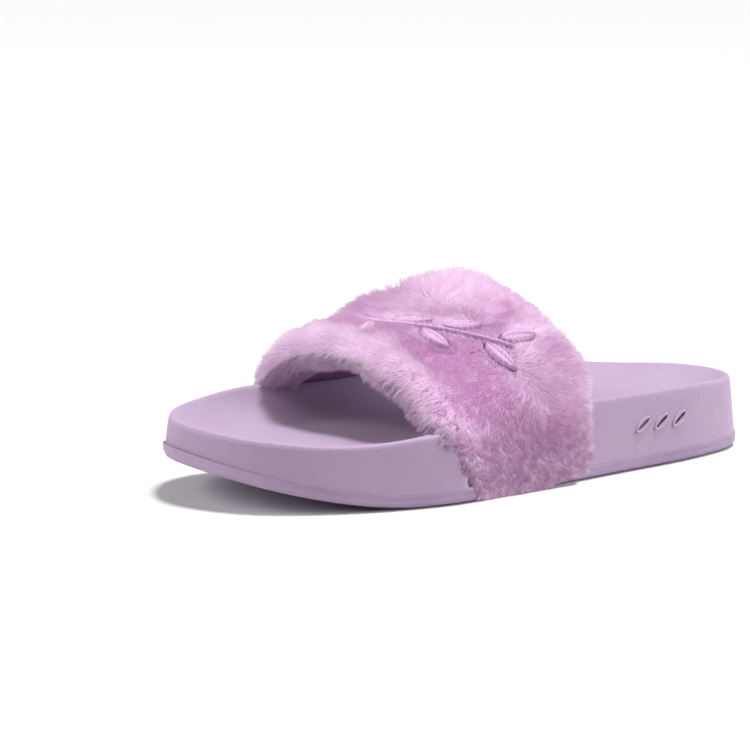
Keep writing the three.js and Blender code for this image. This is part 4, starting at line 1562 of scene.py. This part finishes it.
    @staticmethod
    def _map(mesh: bpy.types.Mesh, roots: int, fibres: int, tone: np.ndarray) -> None:
        """Lays the map of tone across and root to tip upwards, with some width on every face."""
        loops, faces = len(mesh.loops), len(mesh.polygons)
        vertex = np.zeros(loops, dtype=np.int32)
        mesh.loops.foreach_get("vertex_index", vertex)
        starts = np.zeros(faces, dtype=np.int32)
        sizes = np.zeros(faces, dtype=np.int32)
        mesh.polygons.foreach_get("loop_start", starts)
        mesh.polygons.foreach_get("loop_total", sizes)
        face_of = np.repeat(np.arange(faces), sizes)
        rings = roots + 3 * fibres
        fibre = np.where(vertex < roots, -1, np.where(vertex < rings, (vertex - roots) // 3, vertex - rings))
        owner = np.full(faces, -1, dtype=np.int64)
        np.maximum.at(owner, face_of, fibre)
        corner = np.where((vertex >= roots) & (vertex < rings), (vertex - roots) % 3, -1)
        after = np.roll(corner, -1)
        last = starts + sizes - 1
        after[last] = corner[starts]
        before = np.roll(corner, 1)
        before[starts] = corner[last]
        corner = np.where(vertex < roots, np.maximum(after, before), corner)
        corner = np.where(vertex >= rings, 1, corner)
        across = tone[owner[face_of]] + (corner - 1) * 0.006
        rise = np.where(vertex < roots, 0.02, np.where(vertex < rings, 0.52, 0.98))
        layer = mesh.uv_layers.new(name="OFBake")
        layer.data.foreach_set("uv", np.stack([across, rise], 1).astype(np.float32).ravel())

    @staticmethod
    def _shade(
        piece: bpy.types.Object, roots: int, fibre_normal: np.ndarray, skin_normal: np.ndarray, fibres: int
    ) -> None:
        """Leans the shading normals of the fibres towards the skin, so that the pile looks soft."""
        mesh = piece.data
        own = np.zeros(len(mesh.vertices) * 3, dtype=np.float32)
        mesh.vertex_normals.foreach_get("vector", own)
        own = own.reshape(-1, 3)
        soft = np.vstack([skin_normal, np.repeat(fibre_normal, 3, axis=0), fibre_normal])
        blended = unit(own * 0.75 + soft * 0.4)
        assert roots + 4 * fibres == len(mesh.vertices)
        mesh.normals_split_custom_set_from_vertices(blended.tolist())


def sideways_of(face: StrapFace, along: np.ndarray, back: np.ndarray) -> np.ndarray:
    """Returns the directions along the strap, from the outer side towards the inner."""
    return unit(bilinear(face.inward, along, back / face.width))


# ---------------------------------------------------------------- the studio


@dataclass
class Studio:
    """A pale floor, soft light from above and a camera low on the toe's outer side."""

    azimuth: float = 60.0
    elevation: float = 12.0
    distance: float = 1.731
    aim: tuple[float, float, float] = (0.0, 0.0, 0.040)
    shift_right: float = 36.1 * MM
    shift_up: float = 0.55 * MM
    lens: float = 203.136
    floor_size: float = 30.0
    overhead_strength: float = 3.35
    overhead_width: float = 17.0
    overhead_tilt: tuple[float, float] = (2.0, -13.0)
    sky: float = 0.17
    heel_light: float = 8.0
    toe_light: float = 9.5

    def build(self) -> None:
        """Sets up the floor, the light and the camera."""
        self._floor()
        self._sky()
        self._lights()
        self._camera()
        bpy.context.scene.view_settings.view_transform = "Standard"

    def _floor(self) -> None:
        """Lays the floor."""
        bm = bmesh.new()
        bmesh.ops.create_grid(bm, x_segments=1, y_segments=1, size=self.floor_size / 2)
        mesh = bpy.data.meshes.new("studio_floor")
        bm.to_mesh(mesh)
        bm.free()
        floor = bpy.data.objects.new("studio_floor", mesh)
        bpy.context.scene.collection.objects.link(floor)
        paint = bpy.data.materials.new("studio_floor")
        paint.use_nodes = True
        shader = paint.node_tree.nodes["Principled BSDF"]
        shader.inputs["Base Color"].default_value = (0.75, 0.745, 0.75, 1.0)
        shader.inputs["Roughness"].default_value = 0.9
        shader.inputs["Specular IOR Level"].default_value = 0.0
        mesh.materials.append(paint)

    def _sky(self) -> None:
        """Fills the room with even light, a little stronger from above."""
        world = bpy.data.worlds.new("studio")
        world.use_nodes = True
        bpy.context.scene.world = world
        graph = Graph(world.node_tree)
        up = graph.add("SeparateXYZ", {0: graph.add("TexCoord").outputs["Generated"]}).outputs[2]
        back = world.node_tree.nodes["Background"]
        graph.feed(back.inputs["Strength"], graph.span(up, -0.1, 1.0, self.sky * 0.8, self.sky * 1.25))
        back.inputs["Color"].default_value = (1.0, 0.985, 1.0, 1.0)

    def _lights(self) -> None:
        """Hangs a wide overhead light and a soft one on the heel's side."""
        overhead = bpy.data.lights.new("overhead", "SUN")
        overhead.energy = self.overhead_strength
        overhead.angle = math.radians(self.overhead_width)
        lamp = bpy.data.objects.new("overhead", overhead)
        bpy.context.scene.collection.objects.link(lamp)
        lamp.rotation_euler = [math.radians(self.overhead_tilt[1]), math.radians(self.overhead_tilt[0]), 0]
        self._panel("heel_side", self.heel_light, 0.7, Vector((0.75, 0.95, 0.55)), Vector((0.0, 0.08, 0.03)))
        self._panel("toe_side", self.toe_light, 0.8, Vector((-0.45, -1.1, 0.68)), Vector((0.0, -0.06, 0.03)))

    def _panel(self, name: str, power: float, size: float, stand: Vector, aim: Vector) -> None:
        """Stands a square light and turns it to the slide.

        Args:
            name: The light's name.
            power: Its power in watts.
            size: Its side in metres.
            stand: Where it stands.
            aim: Where it points.
        """
        light = bpy.data.lights.new(name, "AREA")
        light.energy, light.size = power, size
        panel = bpy.data.objects.new(name, light)
        bpy.context.scene.collection.objects.link(panel)
        panel.location = stand
        panel.rotation_mode = "QUATERNION"
        panel.rotation_quaternion = (stand - aim).to_track_quat("Z", "Y")

    def _camera(self) -> None:
        """Stands the camera."""
        around, above = math.radians(self.azimuth), math.radians(self.elevation)
        back = Vector(
            (
                math.sin(around) * math.cos(above),
                -math.cos(around) * math.cos(above),
                math.sin(above),
            )
        )
        right = Vector((math.cos(around), math.sin(around), 0.0))
        data = bpy.data.cameras.new("studio_camera")
        data.sensor_width, data.lens = 36.0, self.lens
        data.clip_end = 100.0
        camera = bpy.data.objects.new("studio_camera", data)
        bpy.context.scene.collection.objects.link(camera)
        camera.location = (
            Vector(self.aim) + back * self.distance - right * self.shift_right - back.cross(right) * self.shift_up
        )
        camera.rotation_mode = "QUATERNION"
        camera.rotation_quaternion = back.to_track_quat("Z", "Y")
        bpy.context.scene.camera = camera


def main() -> None:
    """Builds the slide piece by piece round the frame, then the studio."""
    logging.basicConfig(level=logging.INFO, format="%(message)s")
    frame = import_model()
    shop = Workshop(frame["nodes"], Effects())
    face = StrapFace(frame["nodes"]["strap_lining"])
    face.read()
    layers = StrapLayers(shop, face)
    Sole(shop, face, layers).build()
    layers.build()
    sprig = Sprig(shop, face)
    sprig.plan()
    sprig.build()
    EdgeStitching(shop, face).build()
    Plush(shop, face, layers, sprig).build()
    Studio().build()


if __name__ == "__main__":
    main()
